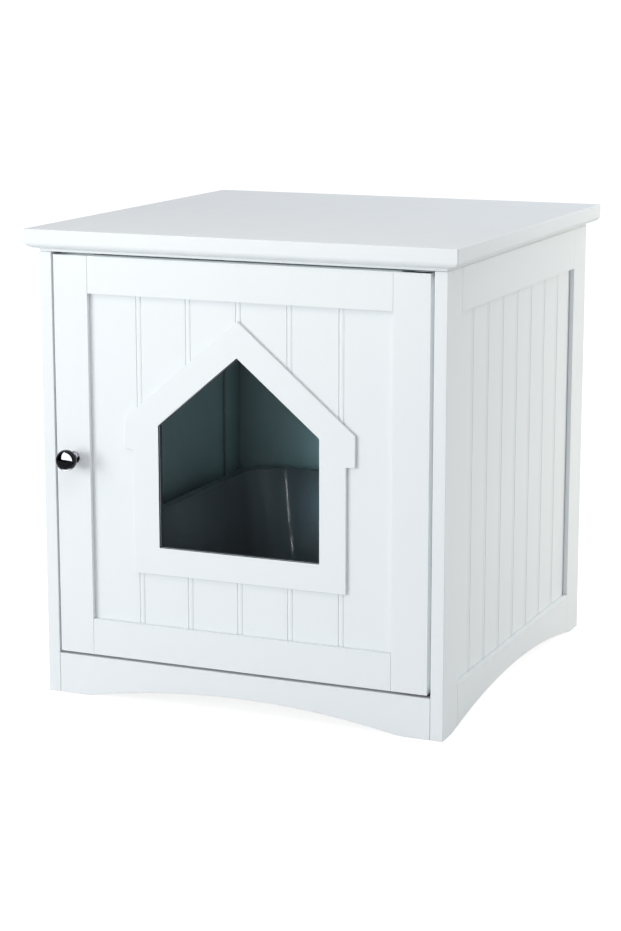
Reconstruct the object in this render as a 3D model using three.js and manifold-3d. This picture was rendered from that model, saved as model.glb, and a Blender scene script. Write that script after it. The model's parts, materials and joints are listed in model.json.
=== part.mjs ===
// Cat litter box cabinet: a painted cabinet with one framed door, a house-shaped entrance and a loose tray.
// Millimetres. X points right, Y to the back and Z up; the door faces -Y. The origin lies on the floor, in
// the middle of the whole object's outline seen from above.

import * as THREE from 'three';
import { mergeVertices } from 'three/addons/utils/BufferGeometryUtils.js';
import Module from 'manifold-3d';

const wasm = await Module();
wasm.setup();

// Overall
const WIDTH = 490; // top board, left to right
const DEPTH = 500; // top board, front to back
const HEIGHT = 512; // floor to the upper face of the top board
const SIDE_OVERHANG = 14; // top board past each side frame
const END_OVERHANG = 10; // top board past the front and past the back
const SEAM = 0.3; // gap between two pieces that bear on each other

// Edge of the top board, from above: upright band, ovolo, small cove, lip
const TOP_BAND = 13.5;
const OVOLO_DROP = 7;
const COVE_RADIUS = 2;
const LIP_HEIGHT = 1.5;

// Panels set in grooved frames
const PANEL_THICKNESS = 5;
const GROOVE_DEPTH = 6;
const BEAD_WIDTH = 5.5; // between the middles of a bead's two grooves
const BEAD_GROOVE_WIDTH = 1.4;
const BEAD_GROOVE_DEPTH = 1;

// Side frames
const SIDE_THICKNESS = 14;
const SIDE_STILE = 45;
const SIDE_TOP_RAIL = 46;
const SIDE_BOTTOM_RAIL = 50; // from the floor to the rail's upper edge
const SIDE_RECESS = 5.5; // panel's face behind the frame's face
const SIDE_BOARDS = 8;

// Arches under the sides and the skirt
const SIDE_FOOT = 27; // length of a foot along the side
const SIDE_ARCH_RISE = 21;
const FRONT_FOOT = 47; // length of a foot along the front, with the side frame's edge
const FRONT_ARCH_RISE = 18;
const ARCH_EASE_RADIUS = 90; // rounds the corner between foot and arch

// Skirt, floor, back and cleats
const SKIRT_TOP = 45; // also the floor panel's upper face
const SKIRT_THICKNESS = 14;
const FLOOR_THICKNESS = 12;
const BACK_THICKNESS = 4;
const BACK_REBATE = 8; // width of the back stiles' rebates
const BACK_BOTTOM = 31; // from the floor
const CLEAT_WIDTH = 15;
const TOP_CLEAT_HEIGHT = 15;
const FLOOR_CLEAT_HEIGHT = 10;
const CLEAT_FRONT_SETBACK = 42;
const CLEAT_BACK_SETBACK = 15;

// Door
const DOOR_THICKNESS = 15;
const DOOR_KNOB_GAP = 2.5;
const DOOR_HINGE_GAP = 4;
const DOOR_TOP_GAP = 3;
const DOOR_BOTTOM_GAP = 3;
const DOOR_MEMBER = 40; // width of the door's stiles and rails
const DOOR_RECESS = 5.5;
const DOOR_BOARDS = 6;

// Entrance and the trim round it
const ENTRANCE_WIDTH = 185;
const ENTRANCE_SILL = 127; // above the door's bottom edge
const ROOF_PITCH = THREE.MathUtils.degToRad(40);
const TRIM_BORDER = 30;
const TRIM_THICKNESS = 3.5;
const EAVE_OVERHANG = 10;
const EAVE_DROP = 28; // underside of the trim's eaves below the entrance's eaves
const EAVE_HEIGHT = 33.5;
const RIDGE_CLEARANCE = 20.3; // trim's ridge to the door's top rail

// Pivot hinges at the door's right edge
const PIVOT_INSET = 9; // pivot line from the door's hinge edge
const PIN_RADIUS = 2.5;
const PIN_CLEARANCE = 0.3;
const PIN_REACH = 12; // pin inside the door
const PLATE_THICKNESS = 1.2;
const PLATE_LENGTH = 38;
const PLATE_FRONT_SETBACK = 1;
const PLATE_INSIDE = 6; // plate past the pivot line, away from the side frame
const PLATE_OUTSIDE = 12; // plate past the pivot line, towards the side frame
const PLATE_SCREW_SETBACK = 31; // from the front
const WASHER_RADIUS = 5;
const SOCKET_INSIDE = 24; // socket plate past the pivot line, away from the door's edge
const SOCKET_OUTSIDE = 6;
const SOCKET_WIDTH = 10;
const SOCKET_THICKNESS = 1.5;
const SOCKET_TUBE_WALL = 1.2;
const SOCKET_TUBE_LENGTH = 14;
const SOCKET_SCREW_INSET = 14; // from the pivot line

// Magnetic catch
const STRIKE_WIDTH = 30;
const STRIKE_HEIGHT = 11;
const STRIKE_THICKNESS = 1.2;
const STRIKE_DROP = 9; // its middle below the door's top edge
const CATCH_WIDTH = 40;
const CATCH_DEPTH = 15;
const CATCH_HEIGHT = 18;
const MAGNET_WIDTH = 22;
const MAGNET_HEIGHT = 9;
const MAGNET_DEPTH = 10;
const CATCH_SCREW_SPREAD = 31;

// Knob
const KNOB_INSET = 21; // from the door's left edge
const KNOB_REACH = 30; // door's face to the knob's tip
const KNOB_BALL_RADIUS = 11.5;
const KNOB_NECK_RADIUS = 4.5;
const KNOB_FLANGE_RADIUS = 6.8;
const KNOB_FLANGE_THICKNESS = 1.6;
const KNOB_BORE_DEPTH = 10.5;

// Litter tray
const TRAY_HEIGHT = 130;
const TRAY_SIDE_CLEARANCE = 28.5; // rim to each side frame
const TRAY_FRONT_CLEARANCE = 12; // rim to the closed door
const TRAY_BACK_CLEARANCE = 23;
const TRAY_WALL = 2.5;
const TRAY_RIM = 17.5; // inner wall to the rim's outer edge
const TRAY_FLANGE = 8; // lower, outer part of the rim
const TRAY_RIM_STEP = 2; // between the rim's two parts
const TRAY_RIM_DROP = 9;
const TRAY_DRAFT = 16; // how far the wall leans in towards the base
const TRAY_BASE_EASE = 5;
const TRAY_RIM_CORNER = 42; // radius of the rim's outer edge
const TRAY_WALL_CORNER = 50; // radius of the inner wall
const TRAY_ENTRY_DIP = 15; // how far the low front edge lies under the rim
const TRAY_ENTRY_INSET = 75; // from each side to the low edge's level part
const TRAY_ENTRY_SLOPE = 20; // run of the low edge's sloped ends

// Fasteners
const FASTENER_CLEARANCE = 0.3;
const HEAD_RIM = 0.3;
const BOARD_SCREW = { head: 4, shank: 1.75, headHeight: 3, length: 32 };
const CLEAT_SCREW = { head: 3.5, shank: 1.75, headHeight: 2.5, length: 24 };
const CATCH_SCREW = { head: 3, shank: 1.5, headHeight: 2, length: 27 };
const PLATE_SCREW = { head: 3.2, shank: 1.5, headHeight: 1.2, length: 10 };
const SOCKET_SCREW = { head: 3.2, shank: 1.5, headHeight: 1.5, length: 20 };
const STRIKE_SCREW = { head: 3, shank: 1.4, headHeight: 1.2, length: 12 };
const BACK_NAIL = { head: 2.2, shank: 1, headHeight: 1, length: 16 };
const KNOB_SCREW = { head: 4, shank: 2, headHeight: 2, length: 24 };
const TOP_SCREW_SPREAD = 300;
const FLOOR_SCREW_SPREAD = 240;
const NAIL_SPREAD = 300;

// Facets
const FASTENER_SIDES = 10;
const PIN_SIDES = 16;
const KNOB_SIDES = 20;
const BALL_STEPS = 9;
const ARCH_STEPS = 12; // from foot to crown
const EASE_STEPS = 3;
const OVOLO_STEPS = 6;
const COVE_STEPS = 3;
const CORNER_STEPS = 6;
const CUT_MARGIN = 2; // how far a cutting tool runs past what it cuts

// Places that several pieces share
const TOP_THICKNESS = TOP_BAND + OVOLO_DROP + COVE_RADIUS + LIP_HEIGHT;
const BODY_DEPTH = DEPTH - 2 * END_OVERHANG;
const BODY_HEIGHT = HEIGHT - TOP_THICKNESS;
const OUTER = WIDTH / 2 - SIDE_OVERHANG; // outer face of the right side frame
const INNER = OUTER - SIDE_THICKNESS;
const FRONT = -BODY_DEPTH / 2;
const BACK = BODY_DEPTH / 2;
const BACK_SEAT = BACK - BACK_THICKNESS - SEAM; // what the back panel lies against
const UNDER_TOP = BODY_HEIGHT - SEAM;
const BESIDE_FRAME = INNER - SEAM;
const DOOR_WIDTH = 2 * INNER - DOOR_KNOB_GAP - DOOR_HINGE_GAP;
const DOOR_BOTTOM = SKIRT_TOP + DOOR_BOTTOM_GAP;
const DOOR_TOP = BODY_HEIGHT - DOOR_TOP_GAP;
const DOOR_HEIGHT = DOOR_TOP - DOOR_BOTTOM;
const DOOR_CENTRE_X = -INNER + DOOR_KNOB_GAP + DOOR_WIDTH / 2;
const HINGE_X = INNER - DOOR_HINGE_GAP - PIVOT_INSET;
const HINGE_Y = FRONT + DOOR_THICKNESS / 2;
const PIN_HOLE_RADIUS = PIN_RADIUS + PIN_CLEARANCE;
const KNOB_X = -INNER + DOOR_KNOB_GAP + KNOB_INSET;
const STRIKE_Z = DOOR_TOP - STRIKE_DROP;
const CATCH_FRONT = FRONT + DOOR_THICKNESS + STRIKE_THICKNESS + 2 * SEAM;
const CATCH_BOTTOM = UNDER_TOP - CATCH_HEIGHT;
const CLEAT_X = BESIDE_FRAME - CLEAT_WIDTH / 2;
const FLOOR_CLEAT_TOP = SKIRT_TOP - FLOOR_THICKNESS - SEAM;
const TRAY_WIDTH = 2 * (INNER - TRAY_SIDE_CLEARANCE);
const TRAY_FRONT = FRONT + DOOR_THICKNESS + TRAY_FRONT_CLEARANCE;
const TRAY_LENGTH = BACK - BACK_THICKNESS - TRAY_BACK_CLEARANCE - TRAY_FRONT;

const UP = new THREE.Vector3(0, 0, 1);
const DOWN = new THREE.Vector3(0, 0, -1);
const FORWARD = new THREE.Vector3(0, -1, 0);

// Materials: a new one for each piece

function material(color, roughness, metalness) {
  return new THREE.MeshStandardMaterial({ color, roughness, metalness });
}

const paint = () => material(0xf0f3f5, 0.45, 0);
const backBoard = () => material(0xe6e8e8, 0.6, 0);
const rawWood = () => material(0xd8c29c, 0.75, 0);
const chrome = () => material(0xc8ccd0, 0.08, 1);
const steel = () => material(0x9a9da1, 0.35, 1);
const magnetSteel = () => material(0x55585c, 0.4, 0.9);
const nylon = () => material(0xe2e2dc, 0.5, 0);
const catchPlastic = () => material(0xdcdedc, 0.5, 0);
const trayPlastic = () => material(0x34383d, 0.35, 0);

// Solids: closed geometry to and from exact joins and cuts

function toSolid(geometry) {
  const bare = geometry.clone();
  bare.deleteAttribute('normal');
  bare.deleteAttribute('uv');
  const merged = mergeVertices(bare, 1e-4);
  const corners = Array.from(merged.index.array);
  const triVerts = [];
  for (let i = 0; i < corners.length; i += 3) {
    const triangle = corners.slice(i, i + 3);
    if (new Set(triangle).size === 3) triVerts.push(...triangle);
  }
  return new wasm.Manifold(
    new wasm.Mesh({
      numProp: 3,
      vertProperties: new Float32Array(merged.attributes.position.array),
      triVerts: new Uint32Array(triVerts),
    }),
  );
}

function toGeometry(solid) {
  const mesh = solid.getMesh();
  const geometry = new THREE.BufferGeometry();
  geometry.setAttribute('position', new THREE.BufferAttribute(mesh.vertProperties, 3));
  geometry.setIndex(new THREE.BufferAttribute(mesh.triVerts, 1));
  return geometry;
}

function join(first, ...others) {
  return toGeometry(others.reduce((sum, other) => sum.add(toSolid(other)), toSolid(first)));
}

function cut(stock, ...tools) {
  return toGeometry(tools.reduce((rest, tool) => rest.subtract(toSolid(tool)), toSolid(stock)));
}

function common(first, second) {
  return toGeometry(toSolid(first).intersect(toSolid(second)));
}

// Plain shapes

function block(x0, x1, y0, y1, z0, z1) {
  const geometry = new THREE.BoxGeometry(x1 - x0, y1 - y0, z1 - z0);
  return geometry.translate((x0 + x1) / 2, (y0 + y1) / 2, (z0 + z1) / 2);
}

// A block on the left side (-1) or the right side (1), given by its distances from the middle
function sideBlock(side, near, far, y0, y1, z0, z1) {
  return side > 0 ? block(near, far, y0, y1, z0, z1) : block(-far, -near, y0, y1, z0, z1);
}

function rod(radius, x, y, z0, z1) {
  const geometry = new THREE.CylinderGeometry(radius, radius, z1 - z0, PIN_SIDES);
  return geometry.rotateX(Math.PI / 2).translate(x, y, (z0 + z1) / 2);
}

// A shape drawn in x and z
function prismAlongY(shape, y0, y1) {
  const geometry = new THREE.ExtrudeGeometry(shape, { depth: y1 - y0, bevelEnabled: false });
  return geometry.rotateX(Math.PI / 2).translate(0, y1, 0);
}

// A shape drawn in y and z
function prismAlongX(shape, x0, x1) {
  const geometry = new THREE.ExtrudeGeometry(shape, { depth: x1 - x0, bevelEnabled: false });
  return geometry.rotateX(Math.PI / 2).rotateZ(Math.PI / 2).translate(x0, 0, 0);
}

// A shape drawn in x and y
function prismAlongZ(shape, z0, z1) {
  const geometry = new THREE.ExtrudeGeometry(shape, { depth: z1 - z0, bevelEnabled: false });
  return geometry.translate(0, 0, z0);
}

// Drawn as a profile of distance from the axis and height
function turned(profile, sides) {
  return new THREE.LatheGeometry(profile, sides).rotateX(Math.PI / 2);
}

function point(x, y) {
  return new THREE.Vector2(x, y);
}

function arc(x, y, radiusX, radiusY, from, to, steps) {
  return new THREE.EllipseCurve(x, y, radiusX, radiusY, from, to, to < from).getPoints(steps);
}

// The right half of an outline from bottom to top, a ridge or crown if there is one, and the left half
function mirroredShape(rightHalf, ...crown) {
  const leftHalf = rightHalf.map((p) => point(-p.x, p.y)).reverse();
  return new THREE.Shape([...rightHalf, ...crown, ...leftHalf]);
}

function addPiece(parent, name, geometry, itsMaterial) {
  const mesh = new THREE.Mesh(geometry, itsMaterial);
  mesh.name = name;
  parent.add(mesh);
  return mesh;
}

// A tool drawn in the cabinet's frame, seen from the frame of a group inside it
function seenFrom(group, tool) {
  group.updateMatrix();
  return tool.clone().applyMatrix4(group.matrix.clone().invert());
}

// Fasteners: countersunk, with the head's flat face at the given place and the tip in the given direction

function fastenerSolid({ head, shank, headHeight, length }, room, start) {
  const profile = [
    point(0, start),
    point(head + room, start),
    point(head + room, HEAD_RIM),
    point(shank + room, headHeight),
    point(shank + room, length - shank),
    point(0, length + room),
  ];
  return turned(profile, FASTENER_SIDES);
}

function fastenerAt(name, size, direction, x, y, z) {
  const turn = new THREE.Quaternion().setFromUnitVectors(UP, direction);
  return { name, size, turn, place: new THREE.Vector3(x, y, z) };
}

function holeFor({ size, turn, place }) {
  const hole = fastenerSolid(size, FASTENER_CLEARANCE, -CUT_MARGIN);
  return hole.applyQuaternion(turn).translate(place.x, place.y, place.z);
}

function addFastener(parent, { name, size, turn, place }) {
  const mesh = addPiece(parent, name, fastenerSolid(size, 0, 0), steel());
  mesh.quaternion.copy(turn);
  mesh.position.copy(place);
}

// Four alike, two on each side; `place` gives direction and place from the side and the end, -1 or 1
function fourFasteners(name, size, place) {
  const corners = [-1, 1].flatMap((side) => [-1, 1].map((end) => ({ side, end })));
  return corners.map(({ side, end }, i) => ({
    side,
    ...fastenerAt(`${name}_${i + 1}`, size, ...place(side, end)),
  }));
}

const topScrews = fourFasteners('top_screw', BOARD_SCREW, (side, end) => [
  UP,
  side * CLEAT_X,
  (end * TOP_SCREW_SPREAD) / 2,
  UNDER_TOP - TOP_CLEAT_HEIGHT,
]);

const floorScrews = fourFasteners('floor_screw', CLEAT_SCREW, (side, end) => [
  new THREE.Vector3(side, 0, 0),
  side * (BESIDE_FRAME - CLEAT_WIDTH),
  (end * FLOOR_SCREW_SPREAD) / 2,
  FLOOR_CLEAT_TOP - FLOOR_CLEAT_HEIGHT / 2,
]);

const backNails = fourFasteners('back_nail', BACK_NAIL, (side, end) => [
  FORWARD,
  side * (INNER + BACK_REBATE / 2),
  BACK,
  (BODY_HEIGHT + end * NAIL_SPREAD) / 2,
]);

const plateScrewY = FRONT + PLATE_SCREW_SETBACK;
const lowerPlateTop = SKIRT_TOP + SEAM + PLATE_THICKNESS;
const upperPlateBottom = UNDER_TOP - PLATE_THICKNESS;
const lowerPlateScrew = fastenerAt(
  'lower_pivot_plate_screw',
  PLATE_SCREW,
  DOWN,
  HINGE_X,
  plateScrewY,
  lowerPlateTop,
);
const upperPlateScrew = fastenerAt(
  'upper_pivot_plate_screw',
  PLATE_SCREW,
  UP,
  HINGE_X,
  plateScrewY,
  upperPlateBottom,
);

const catchScrews = [-1, 1].map((end, i) =>
  fastenerAt(
    `catch_screw_${i + 1}`,
    CATCH_SCREW,
    UP,
    KNOB_X + (end * CATCH_SCREW_SPREAD) / 2,
    CATCH_FRONT + CATCH_DEPTH / 2,
    CATCH_BOTTOM,
  ),
);

// Top board: two moulded strips that cross each other

function mouldedOutline(length, overhang) {
  const half = length / 2;
  const coveX = half - overhang + COVE_RADIUS;
  const cove = arc(coveX, LIP_HEIGHT, COVE_RADIUS, COVE_RADIUS, Math.PI, Math.PI / 2, COVE_STEPS);
  const ovoloZ = LIP_HEIGHT + COVE_RADIUS + OVOLO_DROP;
  const ovoloRun = overhang - COVE_RADIUS;
  const ovolo = arc(coveX, ovoloZ, ovoloRun, OVOLO_DROP, -Math.PI / 2, 0, OVOLO_STEPS);
  const underside = point(half - overhang, 0);
  return mirroredShape([underside, ...cove, ...ovolo.slice(1), point(half, TOP_THICKNESS)]);
}

function addTopBoard(parent) {
  const alongY = prismAlongY(mouldedOutline(WIDTH, SIDE_OVERHANG), -DEPTH / 2, DEPTH / 2);
  const alongX = prismAlongX(mouldedOutline(DEPTH, END_OVERHANG), -WIDTH / 2, WIDTH / 2);
  const board = common(alongY, alongX).translate(0, 0, BODY_HEIGHT);
  const holes = [...topScrews, ...catchScrews, upperPlateScrew].map(holeFor);
  addPiece(parent, 'top_board', cut(board, ...holes), paint());
}

// Arch: a shallow round arch over the floor, eased into the feet

function archTool(halfSpan, rise, y0, y1) {
  const radius = (halfSpan ** 2 + rise ** 2) / (2 * rise);
  const centreZ = rise - radius;
  const easeX = Math.sqrt((radius + ARCH_EASE_RADIUS) ** 2 - (ARCH_EASE_RADIUS - centreZ) ** 2);
  const meeting = Math.atan2(ARCH_EASE_RADIUS - centreZ, easeX);
  const ease = arc(
    easeX,
    ARCH_EASE_RADIUS,
    ARCH_EASE_RADIUS,
    ARCH_EASE_RADIUS,
    -Math.PI / 2,
    meeting - Math.PI,
    EASE_STEPS,
  );
  const arch = arc(0, centreZ, radius, radius, meeting, Math.PI / 2, ARCH_STEPS);
  const rightHalf = [point(easeX, -CUT_MARGIN), ...ease, ...arch.slice(1, -1)];
  return prismAlongY(mirroredShape(rightHalf, point(0, rise)), y0, y1);
}

// Frames: two stiles and two rails round a beaded panel; panel and stub tenons share one groove.
// A frame stands on z = 0 with its face at y = 0 and its thickness towards +y.

function beadedPanel(width, height, boards, boardWidth) {
  const face = [];
  for (let board = 1; board < boards; board += 1) {
    const bead = (board - boards / 2) * boardWidth;
    for (const x of [bead - BEAD_WIDTH / 2, bead + BEAD_WIDTH / 2]) {
      face.push(point(x - BEAD_GROOVE_WIDTH / 2, 0));
      face.push(point(x, BEAD_GROOVE_DEPTH));
      face.push(point(x + BEAD_GROOVE_WIDTH / 2, 0));
    }
  }
  const rightEdge = [point(width / 2, 0), point(width / 2, PANEL_THICKNESS)];
  const leftEdge = [point(-width / 2, PANEL_THICKNESS), point(-width / 2, 0)];
  return prismAlongZ(new THREE.Shape([...face, ...rightEdge, ...leftEdge]), 0, height);
}

function frameParts({ width, height, thickness, stile, topRail, bottomRail, recess, boards }) {
  const half = width / 2;
  const inner = half - stile;
  const groove = inner + GROOVE_DEPTH;
  const tongue = groove - SEAM;
  const railZ = height - topRail;
  const grooveY = [recess - SEAM, recess + PANEL_THICKNESS + SEAM];
  const tenonY = [recess, recess + PANEL_THICKNESS];

  const stileAt = (side) => {
    const body = sideBlock(side, inner, half, 0, thickness, 0, height);
    const channel = [inner - CUT_MARGIN, groove, ...grooveY, -CUT_MARGIN, height + CUT_MARGIN];
    return cut(body, sideBlock(side, ...channel));
  };

  const railAt = (z0, z1, channelZ0, channelZ1) => {
    const body = block(-inner + SEAM, inner - SEAM, 0, thickness, z0, z1);
    const tenons = block(-tongue, tongue, ...tenonY, z0, z1);
    return cut(join(body, tenons), block(-half, half, ...grooveY, channelZ0, channelZ1));
  };

  const panelZ0 = bottomRail - GROOVE_DEPTH + SEAM;
  const panelZ1 = railZ + GROOVE_DEPTH - SEAM;
  const panel = beadedPanel(2 * tongue, panelZ1 - panelZ0, boards, (2 * inner) / boards);
  return {
    leftStile: stileAt(-1),
    rightStile: stileAt(1),
    topRail: railAt(railZ, height, railZ - CUT_MARGIN, railZ + GROOVE_DEPTH),
    bottomRail: railAt(0, bottomRail, bottomRail - GROOVE_DEPTH, bottomRail + CUT_MARGIN),
    panel: panel.translate(0, recess, panelZ0),
  };
}

// Side frames, with their faces outwards: the frame's own right is the back on the right side of the
// cabinet and the front on its left side

function addSideFrame(parent, sideName, side) {
  const group = new THREE.Group();
  group.rotation.z = (side * Math.PI) / 2;
  group.position.x = side * OUTER;
  parent.add(group);

  const parts = frameParts({
    width: BODY_DEPTH,
    height: UNDER_TOP,
    thickness: SIDE_THICKNESS,
    stile: SIDE_STILE,
    topRail: SIDE_TOP_RAIL,
    bottomRail: SIDE_BOTTOM_RAIL,
    recess: SIDE_RECESS,
    boards: SIDE_BOARDS,
  });
  const frontStile = side > 0 ? parts.leftStile : parts.rightStile;
  const backStile = side > 0 ? parts.rightStile : parts.leftStile;

  const halfSpan = BODY_DEPTH / 2 - SIDE_FOOT;
  const arch = archTool(halfSpan, SIDE_ARCH_RISE, -CUT_MARGIN, SIDE_THICKNESS + CUT_MARGIN);
  const rebateX = [INNER - CUT_MARGIN, INNER + BACK_REBATE];
  const rebate = sideBlock(side, ...rebateX, BACK_SEAT, BACK + CUT_MARGIN, -CUT_MARGIN, HEIGHT);
  const holesHere = (fasteners) => fasteners.filter((one) => one.side === side).map(holeFor);
  const stileTools = [rebate, ...holesHere(backNails)].map((tool) => seenFrom(group, tool));
  const railTools = holesHere(floorScrews).map((tool) => seenFrom(group, tool));

  addPiece(group, `${sideName}_front_stile`, cut(frontStile, arch), paint());
  addPiece(group, `${sideName}_back_stile`, cut(backStile, arch, ...stileTools), paint());
  addPiece(group, `${sideName}_top_rail`, parts.topRail, paint());
  addPiece(group, `${sideName}_bottom_rail`, cut(parts.bottomRail, arch, ...railTools), paint());
  addPiece(group, `${sideName}_panel`, parts.panel, paint());
}

// Skirt, floor, back and cleats

function addSkirt(parent) {
  const body = block(-BESIDE_FRAME, BESIDE_FRAME, FRONT, FRONT + SKIRT_THICKNESS, 0, SKIRT_TOP);
  const arch = archTool(
    OUTER - FRONT_FOOT,
    FRONT_ARCH_RISE,
    FRONT - CUT_MARGIN,
    FRONT + SKIRT_THICKNESS + CUT_MARGIN,
  );
  addPiece(parent, 'front_skirt', cut(body, arch), paint());
}

function addFloorAndBack(parent) {
  const floorY = [FRONT + SKIRT_THICKNESS + SEAM, BACK_SEAT];
  const floorZ = [SKIRT_TOP - FLOOR_THICKNESS, SKIRT_TOP];
  const floor = block(-BESIDE_FRAME, BESIDE_FRAME, ...floorY, ...floorZ);
  addPiece(parent, 'floor_panel', cut(floor, holeFor(lowerPlateScrew)), paint());

  const backHalf = INNER + BACK_REBATE - SEAM;
  const back = block(-backHalf, backHalf, BACK - BACK_THICKNESS, BACK, BACK_BOTTOM, UNDER_TOP);
  addPiece(parent, 'back_panel', cut(back, ...backNails.map(holeFor)), backBoard());
}

function addCleats(parent, sideName, side) {
  const x = [BESIDE_FRAME - CLEAT_WIDTH, BESIDE_FRAME];
  const y = [FRONT + CLEAT_FRONT_SETBACK, BACK - CLEAT_BACK_SETBACK];
  const top = sideBlock(side, ...x, ...y, UNDER_TOP - TOP_CLEAT_HEIGHT, UNDER_TOP);
  addPiece(parent, `${sideName}_top_cleat`, cut(top, ...topScrews.map(holeFor)), rawWood());

  const floorZ = [FLOOR_CLEAT_TOP - FLOOR_CLEAT_HEIGHT, FLOOR_CLEAT_TOP];
  const floor = sideBlock(side, ...x, ...y, ...floorZ);
  addPiece(parent, `${sideName}_floor_cleat`, cut(floor, ...floorScrews.map(holeFor)), rawWood());
}

// Cabinet half of the pivot hinges

function pivotPlate(z0, z1, plateScrew) {
  const y = FRONT + PLATE_FRONT_SETBACK;
  const x = [HINGE_X - PLATE_INSIDE, HINGE_X + PLATE_OUTSIDE];
  const plate = block(...x, y, y + PLATE_LENGTH, z0, z1);
  const pinHole = rod(PIN_HOLE_RADIUS, HINGE_X, HINGE_Y, z0 - CUT_MARGIN, z1 + CUT_MARGIN);
  return cut(plate, pinHole, holeFor(plateScrew));
}

function addPivots(parent) {
  const lowerPlate = pivotPlate(SKIRT_TOP + SEAM, lowerPlateTop, lowerPlateScrew);
  const upperPlate = pivotPlate(upperPlateBottom, UNDER_TOP, upperPlateScrew);
  addPiece(parent, 'lower_pivot_plate', lowerPlate, steel());
  addPiece(parent, 'upper_pivot_plate', upperPlate, steel());

  const lowerPin = rod(PIN_RADIUS, HINGE_X, HINGE_Y, SKIRT_TOP + SEAM, DOOR_BOTTOM + PIN_REACH);
  const upperPin = rod(PIN_RADIUS, HINGE_X, HINGE_Y, DOOR_TOP - PIN_REACH, UNDER_TOP);
  addPiece(parent, 'lower_pivot_pin', lowerPin, steel());
  addPiece(parent, 'upper_pivot_pin', upperPin, steel());

  const washerZ = [lowerPlateTop + SEAM, DOOR_BOTTOM - SEAM];
  const disc = rod(WASHER_RADIUS, HINGE_X, HINGE_Y, ...washerZ);
  const hole = rod(PIN_HOLE_RADIUS, HINGE_X, HINGE_Y, SKIRT_TOP, DOOR_BOTTOM);
  addPiece(parent, 'lower_pivot_washer', cut(disc, hole), nylon());

  addFastener(parent, lowerPlateScrew);
  addFastener(parent, upperPlateScrew);
}

// Magnetic catch under the top board

function addCatch(parent) {
  const bodyX = [KNOB_X - CATCH_WIDTH / 2, KNOB_X + CATCH_WIDTH / 2];
  const body = block(...bodyX, CATCH_FRONT, CATCH_FRONT + CATCH_DEPTH, CATCH_BOTTOM, UNDER_TOP);
  const magnetBlock = (room, front) =>
    block(
      KNOB_X - MAGNET_WIDTH / 2 - room,
      KNOB_X + MAGNET_WIDTH / 2 + room,
      front,
      CATCH_FRONT + MAGNET_DEPTH + room,
      STRIKE_Z - MAGNET_HEIGHT / 2 - room,
      STRIKE_Z + MAGNET_HEIGHT / 2 + room,
    );
  const pocket = magnetBlock(SEAM, CATCH_FRONT - CUT_MARGIN);
  addPiece(parent, 'catch_body', cut(body, pocket, ...catchScrews.map(holeFor)), catchPlastic());
  addPiece(parent, 'catch_magnet', magnetBlock(0, CATCH_FRONT), magnetSteel());
  catchScrews.forEach((one) => addFastener(parent, one));
}

// Entrance and trim: house outlines, in the door's own frame

const trimWall = ENTRANCE_WIDTH / 2 + TRIM_BORDER;
const trimEave = trimWall + EAVE_OVERHANG;
const trimRidgeZ = DOOR_HEIGHT - DOOR_MEMBER - RIDGE_CLEARANCE;
const eaveTopZ = trimRidgeZ - trimEave * Math.tan(ROOF_PITCH);
const eaveBottomZ = eaveTopZ - EAVE_HEIGHT;

function houseShape(rightHalf) {
  const eave = rightHalf.at(-1);
  return mirroredShape(rightHalf, point(0, eave.y + eave.x * Math.tan(ROOF_PITCH)));
}

function entranceTool() {
  const half = ENTRANCE_WIDTH / 2;
  const outline = houseShape([point(half, ENTRANCE_SILL), point(half, eaveBottomZ + EAVE_DROP)]);
  return prismAlongY(outline, -CUT_MARGIN, DOOR_THICKNESS);
}

function trimBoard() {
  const outline = houseShape([
    point(trimWall, ENTRANCE_SILL - TRIM_BORDER),
    point(trimWall, eaveBottomZ),
    point(trimEave, eaveBottomZ),
    point(trimEave, eaveTopZ),
  ]);
  const trimBack = DOOR_RECESS - SEAM;
  return cut(prismAlongY(outline, trimBack - TRIM_THICKNESS, trimBack), entranceTool());
}

// Door half of the pivot hinges, for the door's bottom edge; the same pieces serve upside down at its top

function socketSolid(x, room, z0) {
  const y = DOOR_THICKNESS / 2;
  const halfWidth = SOCKET_WIDTH / 2 + room;
  const plateX = [x - SOCKET_INSIDE - room, x + SOCKET_OUTSIDE + room];
  const plate = block(...plateX, y - halfWidth, y + halfWidth, z0, SOCKET_THICKNESS + room);
  const tubeRadius = PIN_HOLE_RADIUS + SOCKET_TUBE_WALL + room;
  return join(plate, rod(tubeRadius, x, y, z0, SOCKET_TUBE_LENGTH + room));
}

function upsideDown(geometry) {
  return geometry.clone().translate(0, 0, -DOOR_HEIGHT / 2).rotateX(Math.PI)
    .translate(0, DOOR_THICKNESS, DOOR_HEIGHT / 2);
}

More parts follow.
